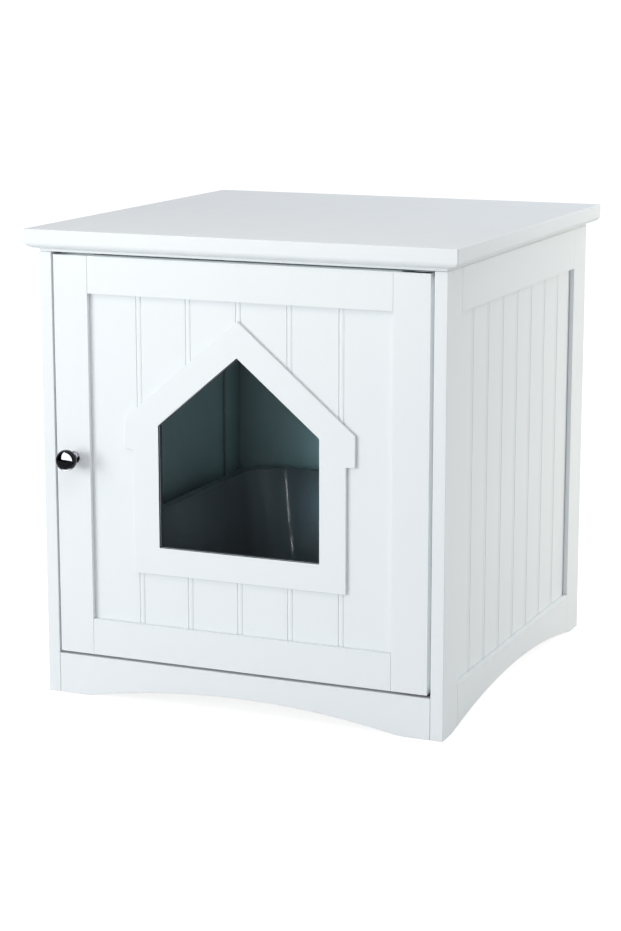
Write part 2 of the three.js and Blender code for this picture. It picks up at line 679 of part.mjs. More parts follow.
function addDoor(parent) {
  const hinge = new THREE.Group();
  hinge.position.set(HINGE_X, HINGE_Y, DOOR_BOTTOM);
  parent.add(hinge);
  const door = new THREE.Group();
  door.position.set(DOOR_CENTRE_X - HINGE_X, -DOOR_THICKNESS / 2, 0);
  hinge.add(door);

  const hingeX = HINGE_X - DOOR_CENTRE_X;
  const knobX = KNOB_X - DOOR_CENTRE_X;
  const strikeZ = STRIKE_Z - DOOR_BOTTOM;
  const strikeBack = DOOR_THICKNESS + SEAM + STRIKE_THICKNESS;
  const middleY = DOOR_THICKNESS / 2;
  const socketScrewX = hingeX - SOCKET_SCREW_INSET;

  const knobScrew = fastenerAt(
    'knob_screw',
    KNOB_SCREW,
    FORWARD,
    knobX,
    DOOR_THICKNESS,
    DOOR_HEIGHT / 2,
  );
  const strikeScrew = fastenerAt('strike_screw', STRIKE_SCREW, FORWARD, knobX, strikeBack, strikeZ);
  const lowerScrew = fastenerAt('lower_socket_screw', SOCKET_SCREW, UP, socketScrewX, middleY, 0);
  const upperScrew = fastenerAt(
    'upper_socket_screw',
    SOCKET_SCREW,
    DOWN,
    socketScrewX,
    middleY,
    DOOR_HEIGHT,
  );

  const parts = frameParts({
    width: DOOR_WIDTH,
    height: DOOR_HEIGHT,
    thickness: DOOR_THICKNESS,
    stile: DOOR_MEMBER,
    topRail: DOOR_MEMBER,
    bottomRail: DOOR_MEMBER,
    recess: DOOR_RECESS,
    boards: DOOR_BOARDS,
  });
  const knobStile = cut(parts.leftStile, holeFor(knobScrew), holeFor(strikeScrew));
  const socketSeat = socketSolid(hingeX, SEAM, -CUT_MARGIN);
  const hingeStile = cut(
    parts.rightStile,
    socketSeat,
    upsideDown(socketSeat),
    holeFor(lowerScrew),
    holeFor(upperScrew),
  );
  addPiece(door, 'door_knob_stile', knobStile, paint());
  addPiece(door, 'door_hinge_stile', hingeStile, paint());
  addPiece(door, 'door_top_rail', parts.topRail, paint());
  addPiece(door, 'door_bottom_rail', parts.bottomRail, paint());
  addPiece(door, 'door_panel', cut(parts.panel, entranceTool()), paint());
  addPiece(door, 'house_trim', trimBoard(), paint());

  const bore = rod(PIN_HOLE_RADIUS, hingeX, middleY, -CUT_MARGIN, SOCKET_TUBE_LENGTH + CUT_MARGIN);
  const socket = cut(socketSolid(hingeX, 0, 0), bore, holeFor(lowerScrew));
  addPiece(door, 'lower_pivot_socket', socket, steel());
  addPiece(door, 'upper_pivot_socket', upsideDown(socket), steel());

  const strikeX = [knobX - STRIKE_WIDTH / 2, knobX + STRIKE_WIDTH / 2];
  const strikeSpan = [strikeZ - STRIKE_HEIGHT / 2, strikeZ + STRIKE_HEIGHT / 2];
  const strike = block(...strikeX, DOOR_THICKNESS + SEAM, strikeBack, ...strikeSpan);
  addPiece(door, 'strike_plate', cut(strike, holeFor(strikeScrew)), steel());

  const knob = addPiece(door, 'knob', knobSolid(), chrome());
  knob.quaternion.setFromUnitVectors(UP, FORWARD);
  knob.position.set(knobX, 0, DOOR_HEIGHT / 2);
  [knobScrew, strikeScrew, lowerScrew, upperScrew].forEach((one) => addFastener(door, one));
}

// Knob: flange, neck and ball, with a blind bore for its screw; its axis leaves the door's face at z = 0

function knobSolid() {
  const boreRadius = KNOB_SCREW.shank + FASTENER_CLEARANCE;
  const centre = KNOB_REACH - KNOB_BALL_RADIUS;
  const neckAngle = -Math.acos(KNOB_NECK_RADIUS / KNOB_BALL_RADIUS);
  const ball = arc(0, centre, KNOB_BALL_RADIUS, KNOB_BALL_RADIUS, neckAngle, Math.PI / 2, BALL_STEPS);
  const profile = [
    point(0, SEAM + KNOB_BORE_DEPTH),
    point(boreRadius, SEAM + KNOB_BORE_DEPTH),
    point(boreRadius, SEAM),
    point(KNOB_FLANGE_RADIUS, SEAM),
    point(KNOB_FLANGE_RADIUS, SEAM + KNOB_FLANGE_THICKNESS),
    point(KNOB_NECK_RADIUS, SEAM + KNOB_FLANGE_THICKNESS),
    ...ball.slice(0, -1),
    point(0, KNOB_REACH),
  ];
  return turned(profile, KNOB_SIDES);
}

// Litter tray: a skin through rounded rectangles, each set in from the rim's outer edge, with a low front

function roundedRectangle(inset, z) {
  const towardsWall = Math.min(inset / TRAY_RIM, 1);
  const radius = THREE.MathUtils.lerp(TRAY_RIM_CORNER, TRAY_WALL_CORNER, towardsWall);
  const cornerX = TRAY_WIDTH / 2 - inset - radius;
  const cornerY = TRAY_LENGTH / 2 - inset - radius;
  const centres = [point(cornerX, cornerY), point(-cornerX, cornerY)];
  centres.push(point(-cornerX, -cornerY), point(cornerX, -cornerY));
  return centres.flatMap((centre, corner) => {
    const from = (corner * Math.PI) / 2;
    const round = arc(centre.x, centre.y, radius, radius, from, from + Math.PI / 2, CORNER_STEPS);
    return round.map((p) => new THREE.Vector3(p.x, p.y, z));
  });
}

function skin(rings) {
  const count = rings[0].length;
  const triangles = [];
  const cap = (start, turnedOver) => {
    for (let i = 1; i < count - 1; i += 1) {
      triangles.push(start, ...(turnedOver ? [start + i + 1, start + i] : [start + i, start + i + 1]));
    }
  };
  cap(0, true);
  for (let ring = 0; ring < rings.length - 1; ring += 1) {
    for (let i = 0; i < count; i += 1) {
      const a = ring * count + i;
      const b = ring * count + ((i + 1) % count);
      triangles.push(a, b, b + count, a, b + count, a + count);
    }
  }
  cap((rings.length - 1) * count, false);
  const geometry = new THREE.BufferGeometry().setFromPoints(rings.flat());
  geometry.setIndex(triangles);
  return geometry;
}

// What is cut from the front wall, so that a cat steps in over a low edge
function entryTool() {
  const level = TRAY_WIDTH / 2 - TRAY_ENTRY_INSET;
  const rise = TRAY_ENTRY_DIP + CUT_MARGIN;
  const open = level + (TRAY_ENTRY_SLOPE * rise) / TRAY_ENTRY_DIP;
  const low = TRAY_HEIGHT - TRAY_ENTRY_DIP;
  const shape = mirroredShape([point(level, low), point(open, low + rise)]);
  const front = -TRAY_LENGTH / 2;
  return prismAlongY(shape, front - CUT_MARGIN, front + TRAY_RIM + TRAY_DRAFT);
}

function addTray(parent) {
  const group = new THREE.Group();
  group.position.set(0, TRAY_FRONT + TRAY_LENGTH / 2, SKIRT_TOP + SEAM);
  parent.add(group);

  const wallInset = TRAY_RIM - TRAY_WALL;
  const base = wallInset + TRAY_DRAFT;
  const innerBase = base + TRAY_WALL;
  const flangeTop = TRAY_HEIGHT - TRAY_RIM_STEP;
  const drop = TRAY_HEIGHT - TRAY_RIM_DROP;
  const ease = TRAY_BASE_EASE;
  const outerEase = arc(base + ease, ease, ease, ease, -Math.PI / 2, -Math.PI, EASE_STEPS);
  const innerEase = arc(innerBase + ease, TRAY_WALL + ease, ease, ease, Math.PI, 1.5 * Math.PI, EASE_STEPS);
  const section = [
    ...outerEase,
    point(wallInset, TRAY_HEIGHT - TRAY_WALL),
    point(TRAY_FLANGE + TRAY_WALL, TRAY_HEIGHT - TRAY_WALL),
    point(TRAY_FLANGE + TRAY_WALL, flangeTop - TRAY_WALL),
    point(TRAY_WALL, flangeTop - TRAY_WALL),
    point(TRAY_WALL, drop),
    point(0, drop),
    point(0, flangeTop),
    point(TRAY_FLANGE, flangeTop),
    point(TRAY_FLANGE, TRAY_HEIGHT),
    point(TRAY_RIM, TRAY_HEIGHT),
    ...innerEase,
  ];
  const rings = section.map((p) => roundedRectangle(p.x, p.y));
  addPiece(group, 'litter_tray', cut(skin(rings), entryTool()), trayPlastic());
}

// The whole cabinet

const cabinet = new THREE.Group();
cabinet.name = 'cat_litter_box_cabinet';
cabinet.position.y = (KNOB_REACH - END_OVERHANG) / 2;

addTopBoard(cabinet);
addSideFrame(cabinet, 'left', -1);
addSideFrame(cabinet, 'right', 1);
addSkirt(cabinet);
addFloorAndBack(cabinet);
addCleats(cabinet, 'left', -1);
addCleats(cabinet, 'right', 1);
addPivots(cabinet);
addCatch(cabinet);
[...topScrews, ...floorScrews, ...backNails].forEach((one) => addFastener(cabinet, one));
addDoor(cabinet);
addTray(cabinet);

export default cabinet;
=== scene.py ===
"""Cat litter box cabinet: the finish of every piece, the studio and the camera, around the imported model.

Metres. X points right, Y to the back and Z up; the door faces -Y.
"""

import json
import math

import bmesh
import bpy
from mathutils import Matrix, Quaternion, Vector


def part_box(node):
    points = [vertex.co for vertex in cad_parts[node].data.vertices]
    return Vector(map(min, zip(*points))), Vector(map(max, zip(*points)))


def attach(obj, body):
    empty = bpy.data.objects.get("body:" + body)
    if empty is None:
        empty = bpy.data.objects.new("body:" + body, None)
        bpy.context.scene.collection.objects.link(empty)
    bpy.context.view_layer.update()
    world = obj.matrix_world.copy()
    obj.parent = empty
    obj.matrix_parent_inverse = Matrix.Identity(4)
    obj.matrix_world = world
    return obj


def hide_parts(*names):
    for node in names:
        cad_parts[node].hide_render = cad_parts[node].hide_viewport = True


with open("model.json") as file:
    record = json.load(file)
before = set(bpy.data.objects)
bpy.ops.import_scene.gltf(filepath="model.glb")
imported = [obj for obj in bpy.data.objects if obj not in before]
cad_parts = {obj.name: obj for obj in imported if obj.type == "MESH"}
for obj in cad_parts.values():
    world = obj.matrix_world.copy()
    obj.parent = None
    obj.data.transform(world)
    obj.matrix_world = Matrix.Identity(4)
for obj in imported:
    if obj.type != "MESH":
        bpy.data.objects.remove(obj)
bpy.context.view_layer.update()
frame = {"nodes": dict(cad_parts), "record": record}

MM = 0.001

# The photograph's camera
IMAGE_HEIGHT = 931
FOCAL_PIXELS = 2339.44
CAMERA_PLACE = (1.00780, -2.40432, 0.77521)
CAMERA_YAW = 23.038
CAMERA_PITCH = 11.839
CAMERA_ROLL = 0.018
CAMERA_REACH = 50
SENSOR = 36.0

# Which body each node rides on, and places that several pieces are built from
BODY_OF = {
    node: body
    for body, nodes in frame["record"]["behaviour"]["bodies"].items()
    for node in nodes
}
LEFT_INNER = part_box("left_bottom_rail")[1].x
RIGHT_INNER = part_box("right_bottom_rail")[0].x
DOOR_FRONT, DOOR_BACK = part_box("door_top_rail")[0].y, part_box("door_top_rail")[1].y
BACK_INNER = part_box("back_panel")[0].y
FLOOR_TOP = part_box("floor_panel")[1].z
UNDER_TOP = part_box("top_board")[0].z


def entrance_edges():
    """Left, right, sill, eave and ridge of the entrance, from the door panel's own hole."""
    low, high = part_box("door_panel")
    points = [v.co for v in frame["nodes"]["door_panel"].data.vertices]
    inner = [p for p in points if low.x + MM < p.x < high.x - MM and low.z + MM < p.z < high.z - MM]
    left, right = min(p.x for p in inner), max(p.x for p in inner)
    eave = max(p.z for p in inner if right - p.x < MM)
    return left, right, min(p.z for p in inner), eave, max(p.z for p in inner)


HOLE_LEFT, HOLE_RIGHT, HOLE_SILL, HOLE_EAVE, HOLE_RIDGE = entrance_edges()
HOLE_MIDDLE = (HOLE_LEFT + HOLE_RIGHT) / 2
ROOF_SLOPE = (HOLE_RIDGE - HOLE_EAVE) / (HOLE_RIGHT - HOLE_MIDDLE)

# Eased edges, and the angles from which an edge is eased and stays hard in shading
BOARD_EASE = 0.7 * MM
JOINT_EASE = 0.25 * MM
METAL_EASE = 0.2 * MM
PIN_EASE = 0.4 * MM
EASE_SEGMENTS = 3
SHARP_ANGLE = math.radians(28)
HARD_CORNER = math.radians(50)
FLAT_ANGLE = math.radians(0.2)

# Which faces take a second finish, and how far a cutting tool runs past a face
EDGE_ROOM = 0.4 * MM
INNER_ROOM = 0.5 * MM
PANEL_ROOM = 4.5 * MM  # the side panels' inner faces lie that far behind their frames'
CUT_MARGIN = 2 * MM

# Paint: how far painted shade reaches out of a gap or groove, and how far painted shade reaches out of the
# corners of a closed space
GAP_SHADE_REACH = 5 * MM
CORNER_SHADE_REACH = 70 * MM
WHITE = (0.835, 0.866, 0.882)
# Inner white, tinted cool so that the shade inside the closed cabinet comes out teal: a painted shade colour
INNER_SHADE_TINTED_WHITE = (0.745, 0.91, 0.935)
# Nearly black: painted shade on the cut edge round the entrance, in place of the shade that falls there
ENTRANCE_SHADE_BLACK = (0.055, 0.072, 0.082)

# Top board's edge
BAND_HEIGHT = 13.5 * MM
OVOLO_DROP = 7 * MM
COVE_RADIUS = 2 * MM
LIP_HEIGHT = 1.5 * MM
BAND_EASE = 1.1 * MM
TOP_CORNER = 1.6 * MM

# Beaded panels
SIDE_BOARDS = 8
DOOR_BOARDS = 6
BEAD_WIDTH = 5.5 * MM
BEAD_GROOVE_WIDTH = 1.5 * MM
BEAD_GROOVE_DEPTH = 1.0 * MM
BEAD_CROWN = 0.25 * MM
GROOVE_STEPS = 5
CROWN_STEPS = 4

# Pivot pins and the washer round the lower one
PIN_SIDES = 40
WASHER_SIDES = 48
PIN_CLEARANCE = 0.3 * MM

# Knob, measured from the door's face along its axis
KNOB_SIDES = 96
KNOB_SEAT = 0.3 * MM
KNOB_FLANGE = 6.8 * MM
KNOB_FLANGE_THICKNESS = 1.6 * MM
KNOB_NECK = 4.5 * MM
KNOB_BALL = 11.5 * MM
KNOB_FILLET = 1.2 * MM
KNOB_RIM_EASE = 0.6 * MM
KNOB_BALL_ROOT = 4.9 * MM  # radius at which the ball starts, just wider than the neck

# Litter tray
TRAY_WALL = 2.5 * MM
TRAY_RIM = 17.5 * MM
TRAY_FLANGE = 8 * MM
TRAY_RIM_STEP = 2 * MM
TRAY_RIM_DROP = 9 * MM
TRAY_DRAFT = 16 * MM
TRAY_BASE_EASE = 5 * MM
TRAY_RIM_CORNER = 42 * MM
TRAY_WALL_CORNER = 50 * MM
TRAY_EDGE_EASE = 0.8 * MM
TRAY_CORNER_STEPS = 20
TRAY_ENTRY_DIP = 15 * MM
TRAY_ENTRY_INSET = 75 * MM
TRAY_ENTRY_SLOPE = 20 * MM

# Screws: nodes, way that their tips point, shank radius and height of the head
UP, DOWN, FORWARD = Vector((0, 0, 1)), Vector((0, 0, -1)), Vector((0, -1, 0))
LEFT, RIGHT = Vector((-1, 0, 0)), Vector((1, 0, 0))
SCREWS = (
    (("top_screw_1", "top_screw_2", "top_screw_3", "top_screw_4"), UP, 1.75 * MM, 3.0 * MM),
    (("floor_screw_1", "floor_screw_2"), LEFT, 1.75 * MM, 2.5 * MM),
    (("floor_screw_3", "floor_screw_4"), RIGHT, 1.75 * MM, 2.5 * MM),
    (("catch_screw_1", "catch_screw_2"), UP, 1.5 * MM, 2.0 * MM),
    (("lower_pivot_plate_screw",), DOWN, 1.5 * MM, 1.2 * MM),
    (("upper_pivot_plate_screw",), UP, 1.5 * MM, 1.2 * MM),
    (("lower_socket_screw",), UP, 1.5 * MM, 1.5 * MM),
    (("upper_socket_screw",), DOWN, 1.5 * MM, 1.5 * MM),
    (("strike_screw",), FORWARD, 1.4 * MM, 1.2 * MM),
    (("knob_screw",), FORWARD, 2.0 * MM, 2.0 * MM),
)
NAILS = [f"back_nail_{i}" for i in range(1, 5)]
NAIL_SHANK = 1.0 * MM
NAIL_HEAD_HEIGHT = 1.0 * MM
NAIL_GRIPS = 4  # rings pressed in under the head
NAIL_GRIP_PITCH = 0.8 * MM
NAIL_SIDES = 24
HEAD_RIM = 0.3 * MM
THREAD_PITCH = 1.3 * MM
THREAD_DEPTH = 0.35 * MM
THREAD_STEPS = 6
SCREW_SIDES = 20


# Materials


def add_node(tree, kind, inputs=(), **settings):
    """A shader node; each input takes a value or a link from another node's output."""
    node = tree.nodes.new(f"ShaderNode{kind}")
    for name, value in settings.items():
        setattr(node, name, value)
    for key, value in dict(inputs).items():
        if isinstance(value, bpy.types.NodeSocket):
            tree.links.new(value, node.inputs[key])
        else:
            node.inputs[key].default_value = value
    return node


class Finish:
    """A material being made: one Principled shader, and calls that add the nodes in front of it."""

    def __init__(self, name, slot, metallic=0.0, **plain):
        self.slot = slot
        self.material = bpy.data.materials.new(name)
        self.material.use_nodes = True
        self.links = self.material.node_tree.links
        self.shader = self.material.node_tree.nodes["Principled BSDF"]
        self.shader.inputs["Metallic"].default_value = metallic
        for socket, value in plain.items():
            self.shader.inputs[socket.replace("_", " ")].default_value = value
        self.place = self.add("TexCoord").outputs["Object"]

    def add(self, kind, inputs=(), **settings):
        return add_node(self.material.node_tree, kind, inputs, **settings)

    def stretched(self, scale):
        return self.add("Mapping", {"Vector": self.place, "Scale": scale}).outputs["Vector"]

    def noise(self, scale, detail=3.0, roughness=0.5, stretch=None):
        vector = self.place if stretch is None else self.stretched(stretch)
        inputs = {"Vector": vector, "Scale": scale, "Detail": detail, "Roughness": roughness}
        return self.add("TexNoise", inputs).outputs["Fac"]

    def cells(self, scale, output="Distance"):
        return self.add("TexVoronoi", {"Vector": self.place, "Scale": scale}).outputs[output]

    def spread(self, value, low, high, start=0.0, end=1.0):
        """The value's stretch from start to end, mapped to low and high."""
        inputs = {0: value, 1: start, 2: end, 3: low, 4: high}
        return self.add("MapRange", inputs, clamp=True).outputs[0]

    def math(self, operation, first, second=0.0):
        return self.add("Math", {0: first, 1: second}, operation=operation).outputs[0]

    def mix(self, share, first, second):
        node = self.add("Mix", data_type="RGBA")
        for socket, value in (("Factor", share), ("A", first), ("B", second)):
            target = next(
                s
                for s in node.inputs
                if s.name == socket and s.type == ("VALUE" if socket == "Factor" else "RGBA")
            )
            if isinstance(value, bpy.types.NodeSocket):
                self.links.new(value, target)
            elif socket == "Factor":
                target.default_value = value
            else:
                target.default_value = (*value, 1.0)
        return next(s for s in node.outputs if s.type == "RGBA")

    def edges(self, radius, start=0.02, end=0.25):
        """1 along edges sharper than the radius, 0 on flat ground."""
        rounded = self.add("Bevel", {"Radius": radius}, samples=6).outputs["Normal"]
        true = self.add("NewGeometry").outputs["Normal"]
        along = self.add("VectorMath", {0: rounded, 1: true}, operation="DOT_PRODUCT")
        turned = self.math("SUBTRACT", 1.0, along.outputs["Value"])
        return self.spread(turned, 0.0, 1.0, start, end)

    def shelter(self, distance):
        """1 in the open, 0 deep in a gap or groove."""
        inputs = {"Distance": distance}
        return self.add("AmbientOcclusion", inputs, samples=6).outputs["AO"]

    def bump(self, height, distance, strength=1.0, under=None):
        inputs = {"Height": height, "Distance": distance, "Strength": strength}
        if under is not None:
            inputs["Normal"] = under
        return self.add("Bump", inputs).outputs["Normal"]

    def finish(self, color, roughness, normal):
        for socket, value in (("Base Color", color), ("Roughness", roughness), ("Normal", normal)):
            self.links.new(value, self.shader.inputs[socket])
        return self


def scaled(color, factor):
    return tuple(channel * factor for channel in color)


def satin_paint(name, color, roughness, gap_shade, corner_shade=0.0):
    """Sprayed satin paint on smooth board: faint clouds, fine spray texture, worn and paler edges, and
    painted shade in gaps and grooves; painted shade also darkens the corners of a closed space."""
    made = Finish(name, "white_paint", IOR=1.46)
    clouds = made.noise(5.0, 3.0)
    base = made.mix(made.spread(clouds, 0.0, 1.0, 0.3, 0.7), scaled(color, 0.985), color)
    specks = made.noise(260.0, 2.0)
    base = made.mix(made.spread(specks, 0.0, 0.25, 0.62, 0.8), base, scaled(color, 0.95))
    worn = made.math("MULTIPLY", made.edges(0.9 * MM), made.spread(made.noise(90.0), 0.15, 0.6, 0.4, 0.7))
    base = made.mix(worn, base, tuple(min(c * 1.035, 0.93) for c in color))
    # Painted shade: the paint's colour darkens deep in gaps and grooves, where the ambient occlusion finds
    # little open space
    gap_shade_mask = made.spread(made.shelter(GAP_SHADE_REACH), gap_shade, 0.0, 0.1, 0.75)
    base = made.mix(gap_shade_mask, base, scaled(color, 0.72))
    # Painted shade: the paint's colour darkens strongly towards the corners of a closed space
    if corner_shade:
        corner_shade_mask = made.spread(made.shelter(CORNER_SHADE_REACH), corner_shade, 0.0, 0.35, 0.88)
        base = made.mix(corner_shade_mask, base, scaled(color, 0.12))
    spray = made.noise(1100.0, 2.0, 0.6)
    ripples = made.noise(240.0, 1.0)
    normal = made.bump(spray, 0.02 * MM, 0.5, made.bump(ripples, 0.05 * MM, 0.35))
    gloss = made.spread(made.noise(35.0, 4.0), roughness - 0.05, roughness + 0.06, 0.3, 0.7)
    return made.finish(base, made.math("SUBTRACT", gloss, made.math("MULTIPLY", worn, 0.1)), normal)


def pressed_board():
    """Back board: painted hardboard with the fine mesh of its press on the outer face."""
    made = Finish("back_board_finish", "back_board", IOR=1.46)
    color = (0.79, 0.80, 0.80)
    fibres = made.noise(420.0, 4.0, 0.65, (1.0, 1.0, 0.35))
    base = made.mix(made.spread(fibres, 0.0, 0.5, 0.45, 0.75), color, scaled(color, 0.88))
    stains = made.noise(7.0, 5.0)
    base = made.mix(made.spread(stains, 0.0, 0.3, 0.5, 0.8), base, (0.76, 0.755, 0.73))
    weave = made.cells(700.0)
    normal = made.bump(weave, 0.08 * MM, 0.6, made.bump(fibres, 0.05 * MM, 0.4))
    return made.finish(base, made.spread(fibres, 0.55, 0.75, 0.3, 0.7), normal)


def bare_wood():
    """Sawn softwood battens: growth lines along Y, pores and darker sawn edges."""
    made = Finish("bare_wood_finish", "raw_wood", IOR=1.4)
    grain = made.noise(60.0, 6.0, 0.6, (4.0, 0.12, 4.0))
    lines = made.add(
        "TexWave",
        {
            "Vector": made.stretched((1.0, 0.05, 1.0)),
            "Scale": 90.0,
            "Distortion": 6.0,
            "Detail": 3.0,
            "Detail Scale": 1.5,
        },
        bands_direction="X",
    ).outputs["Fac"]
    base = made.mix(made.spread(lines, 0.0, 1.0, 0.1, 0.9), (0.70, 0.53, 0.32), (0.50, 0.33, 0.17))
    base = made.mix(made.spread(grain, 0.0, 0.5, 0.5, 0.8), base, (0.42, 0.27, 0.14))
    worn = made.edges(1.0 * MM)
    base = made.mix(made.math("MULTIPLY", worn, 0.5), base, (0.60, 0.46, 0.29))
    normal = made.bump(grain, 0.15 * MM, 0.7, made.bump(lines, 0.1 * MM, 0.4))
    return made.finish(base, made.spread(grain, 0.6, 0.85, 0.3, 0.7), normal)


def zinc_steel():
    """Zinc-plated steel: spangle, dull patches and bright worn edges."""
    made = Finish("zinc_steel_finish", "steel", metallic=1.0)
    spangle = made.cells(520.0, "Color")
    tone = made.add("SeparateColor", {"Color": spangle}).outputs[0]
    base = made.mix(tone, (0.48, 0.49, 0.51), (0.62, 0.63, 0.65))
    patches = made.noise(160.0, 4.0)
    base = made.mix(made.spread(patches, 0.0, 0.5, 0.5, 0.75), base, (0.38, 0.38, 0.39))
    worn = made.edges(0.4 * MM)
    base = made.mix(made.math("MULTIPLY", worn, 0.7), base, (0.78, 0.79, 0.80))
    scratches = made.noise(900.0, 3.0, 0.6, (0.15, 1.0, 1.0))
    normal = made.bump(scratches, 0.02 * MM, 0.5)
    rough = made.spread(patches, 0.26, 0.46, 0.3, 0.7)
    return made.finish(base, made.math("SUBTRACT", rough, made.math("MULTIPLY", worn, 0.12)), normal)


def polished_chrome():
    """Dark polished chrome: hairline scratches and faint finger haze."""
    made = Finish("chrome_finish", "chrome", metallic=1.0)
    haze = made.noise(130.0, 4.0, 0.6)
    base = made.mix(made.spread(haze, 0.0, 1.0, 0.35, 0.7), (0.022, 0.023, 0.026), (0.018, 0.019, 0.022))
    worn = made.edges(0.5 * MM, 0.05, 0.4)
    base = made.mix(made.math("MULTIPLY", worn, 0.5), base, (0.05, 0.052, 0.056))
    hairlines = made.noise(2600.0, 2.0, 0.5, (1.0, 0.12, 1.0))
    rough = made.spread(haze, 0.035, 0.085, 0.35, 0.75)
    return made.finish(base, rough, made.bump(hairlines, 0.004 * MM, 0.25))


def moulded(name, slot, color, roughness, grain, wear, **plain):
    """Injection-moulded plastic: fine spark-eroded grain, flow clouds and scuffed edges."""
    made = Finish(name, slot, **plain)
    flow = made.noise(14.0, 3.0, 0.5, (1.0, 1.0, 0.4))
    base = made.mix(made.spread(flow, 0.0, 1.0, 0.3, 0.7), scaled(color, 0.92), scaled(color, 1.06))
    scuffs = made.noise(300.0, 5.0, 0.7, (1.0, 0.2, 1.0))
    base = made.mix(made.spread(scuffs, 0.0, 0.35, 0.6, 0.85), base, wear)
    worn = made.math("MULTIPLY", made.edges(0.8 * MM), made.spread(made.noise(120.0), 0.2, 0.7, 0.35, 0.7))
    base = made.mix(worn, base, wear)
    texture = made.cells(grain)
    normal = made.bump(texture, 0.03 * MM, 0.35, made.bump(scuffs, 0.02 * MM, 0.2))
    rough = made.spread(scuffs, roughness - 0.05, roughness + 0.12, 0.35, 0.8)
    return made.finish(base, rough, normal)


PAINT = satin_paint("white_paint_finish", WHITE, 0.42, 0.12)
# Inner faces: the white paint with a cool painted shade tint, painted shade in gaps and painted shade in the
# cabinet's corners
SHADED_LINING = satin_paint("inner_shaded_paint_finish", INNER_SHADE_TINTED_WHITE, 0.5, 0.2, 0.72)
# Cut edge round the entrance: painted shade, as a nearly black paint
HOLE_EDGE_SHADE = satin_paint("entrance_edge_shade_finish", ENTRANCE_SHADE_BLACK, 0.45, 0.2)
BACK_BOARD = pressed_board()
WOOD = bare_wood()
STEEL = zinc_steel()
CHROME = polished_chrome()
MAGNET = moulded(
    "magnet_finish", "magnet", (0.07, 0.07, 0.075), 0.5, 1500.0, (0.16, 0.16, 0.165), metallic=0.6
)
NYLON = moulded("nylon_finish", "nylon", (0.76, 0.76, 0.71), 0.42, 1800.0, (0.68, 0.67, 0.62))
CATCH_PLASTIC = moulded(
    "catch_plastic_finish", "catch_plastic", (0.74, 0.76, 0.74), 0.42, 1500.0, (0.66, 0.67, 0.65)
)
TRAY_PLASTIC = moulded(
    "tray_plastic_finish", "tray_plastic", (0.225, 0.22, 0.235), 0.11, 1300.0, (0.27, 0.265, 0.28)
)


# Meshes


def mesh_from(name, points, faces):
    mesh = bpy.data.meshes.new(name)
    mesh.from_pydata(points, [], faces)
    work = bmesh.new()
    work.from_mesh(mesh)
    bmesh.ops.remove_doubles(work, verts=work.verts, dist=0.0005 * MM)
    bmesh.ops.recalc_face_normals(work, faces=work.faces)
    work.to_mesh(mesh)
    work.free()
    return mesh


def skin(name, rings):
    """A closed skin through rings of points, with a face over the first ring and over the last."""
    count = len(rings[0])
    points = [p for ring in rings for p in ring]
    faces = [tuple(reversed(range(count)))]
    for start in range(0, (len(rings) - 1) * count, count):
        for i in range(count):
            j = (i + 1) % count
            faces.append((start + i, start + j, start + count + j, start + count + i))
    faces.append(tuple(range(len(points) - count, len(points))))
    return mesh_from(name, points, faces)


def turned(name, profile, sides):
    """A profile of radius and height turned round Z; it starts and ends on the axis."""
    points = [(0, 0, profile[0][1])]
    for radius, height in profile[1:-1]:
        for i in range(sides):
            angle = math.tau * i / sides
            points.append((radius * math.cos(angle), radius * math.sin(angle), height))
    points.append((0, 0, profile[-1][1]))
    last = len(points) - 1
    rings = len(profile) - 2
    faces = []
    for i in range(sides):
        j = (i + 1) % sides
        faces.append((0, 1 + j, 1 + i))
        for ring in range(rings - 1):
            a, b = 1 + ring * sides + i, 1 + ring * sides + j
            faces.append((a, b, b + sides, a + sides))
        faces.append((last, last - sides + i, last - sides + j))
    return mesh_from(name, points, faces)


def arc(x, y, radius_x, radius_y, start, end, steps):
    """Points on an ellipse, from one angle in degrees to another."""
    turns = [math.radians(start + (end - start) * i / steps) for i in range(steps + 1)]
    return [(x + radius_x * math.cos(t), y + radius_y * math.sin(t)) for t in turns]


def rounded_rectangle(centre, half_x, half_y, radius, z, steps):
    ring = []
    for corner, (sx, sy) in enumerate(((1, 1), (-1, 1), (-1, -1), (1, -1))):
        x, y = centre.x + sx * (half_x - radius), centre.y + sy * (half_y - radius)
        ring += [(px, py, z) for px, py in arc(x, y, radius, radius, 90 * corner, 90 * (corner + 1), steps)]
    return ring


def applied(mesh, *modifiers):
    """The mesh after some modifiers, each given by its kind and settings."""
    holder = bpy.data.objects.new("holder", mesh)
    bpy.context.scene.collection.objects.link(holder)
    for kind, settings in modifiers:
        modifier = holder.modifiers.new(kind, kind)
        for name, value in settings.items():
            setattr(modifier, name, value)
    graph = bpy.context.evaluated_depsgraph_get()
    made = bpy.data.meshes.new_from_object(holder.evaluated_get(graph))
    bpy.data.objects.remove(holder)
    return made


def shaded(mesh):
    """Smooth shading in which large flat faces stay flat and hard corners stay hard."""
    mesh.shade_smooth()
    mesh.set_sharp_from_angle(angle=HARD_CORNER)
    return applied(mesh, ("WEIGHTED_NORMAL", {"keep_sharp": True, "weight": 80}))


def eased(mesh, width, segments=EASE_SEGMENTS):
    bevel = {
        "width": width,
        "segments": segments,
        "limit_method": "ANGLE",
        "angle_limit": SHARP_ANGLE,
        "use_clamp_overlap": True,
        "miter_outer": "MITER_ARC",
    }
    return shaded(applied(mesh, ("BEVEL", bevel)))


def cut(mesh, tool):
    """The mesh without the tool's space."""
    knife = bpy.data.objects.new("knife", tool)
    bpy.context.scene.collection.objects.link(knife)
    made = applied(mesh, ("BOOLEAN", {"operation": "DIFFERENCE", "solver": "EXACT", "object": knife}))
    bpy.data.objects.remove(knife)
    return made


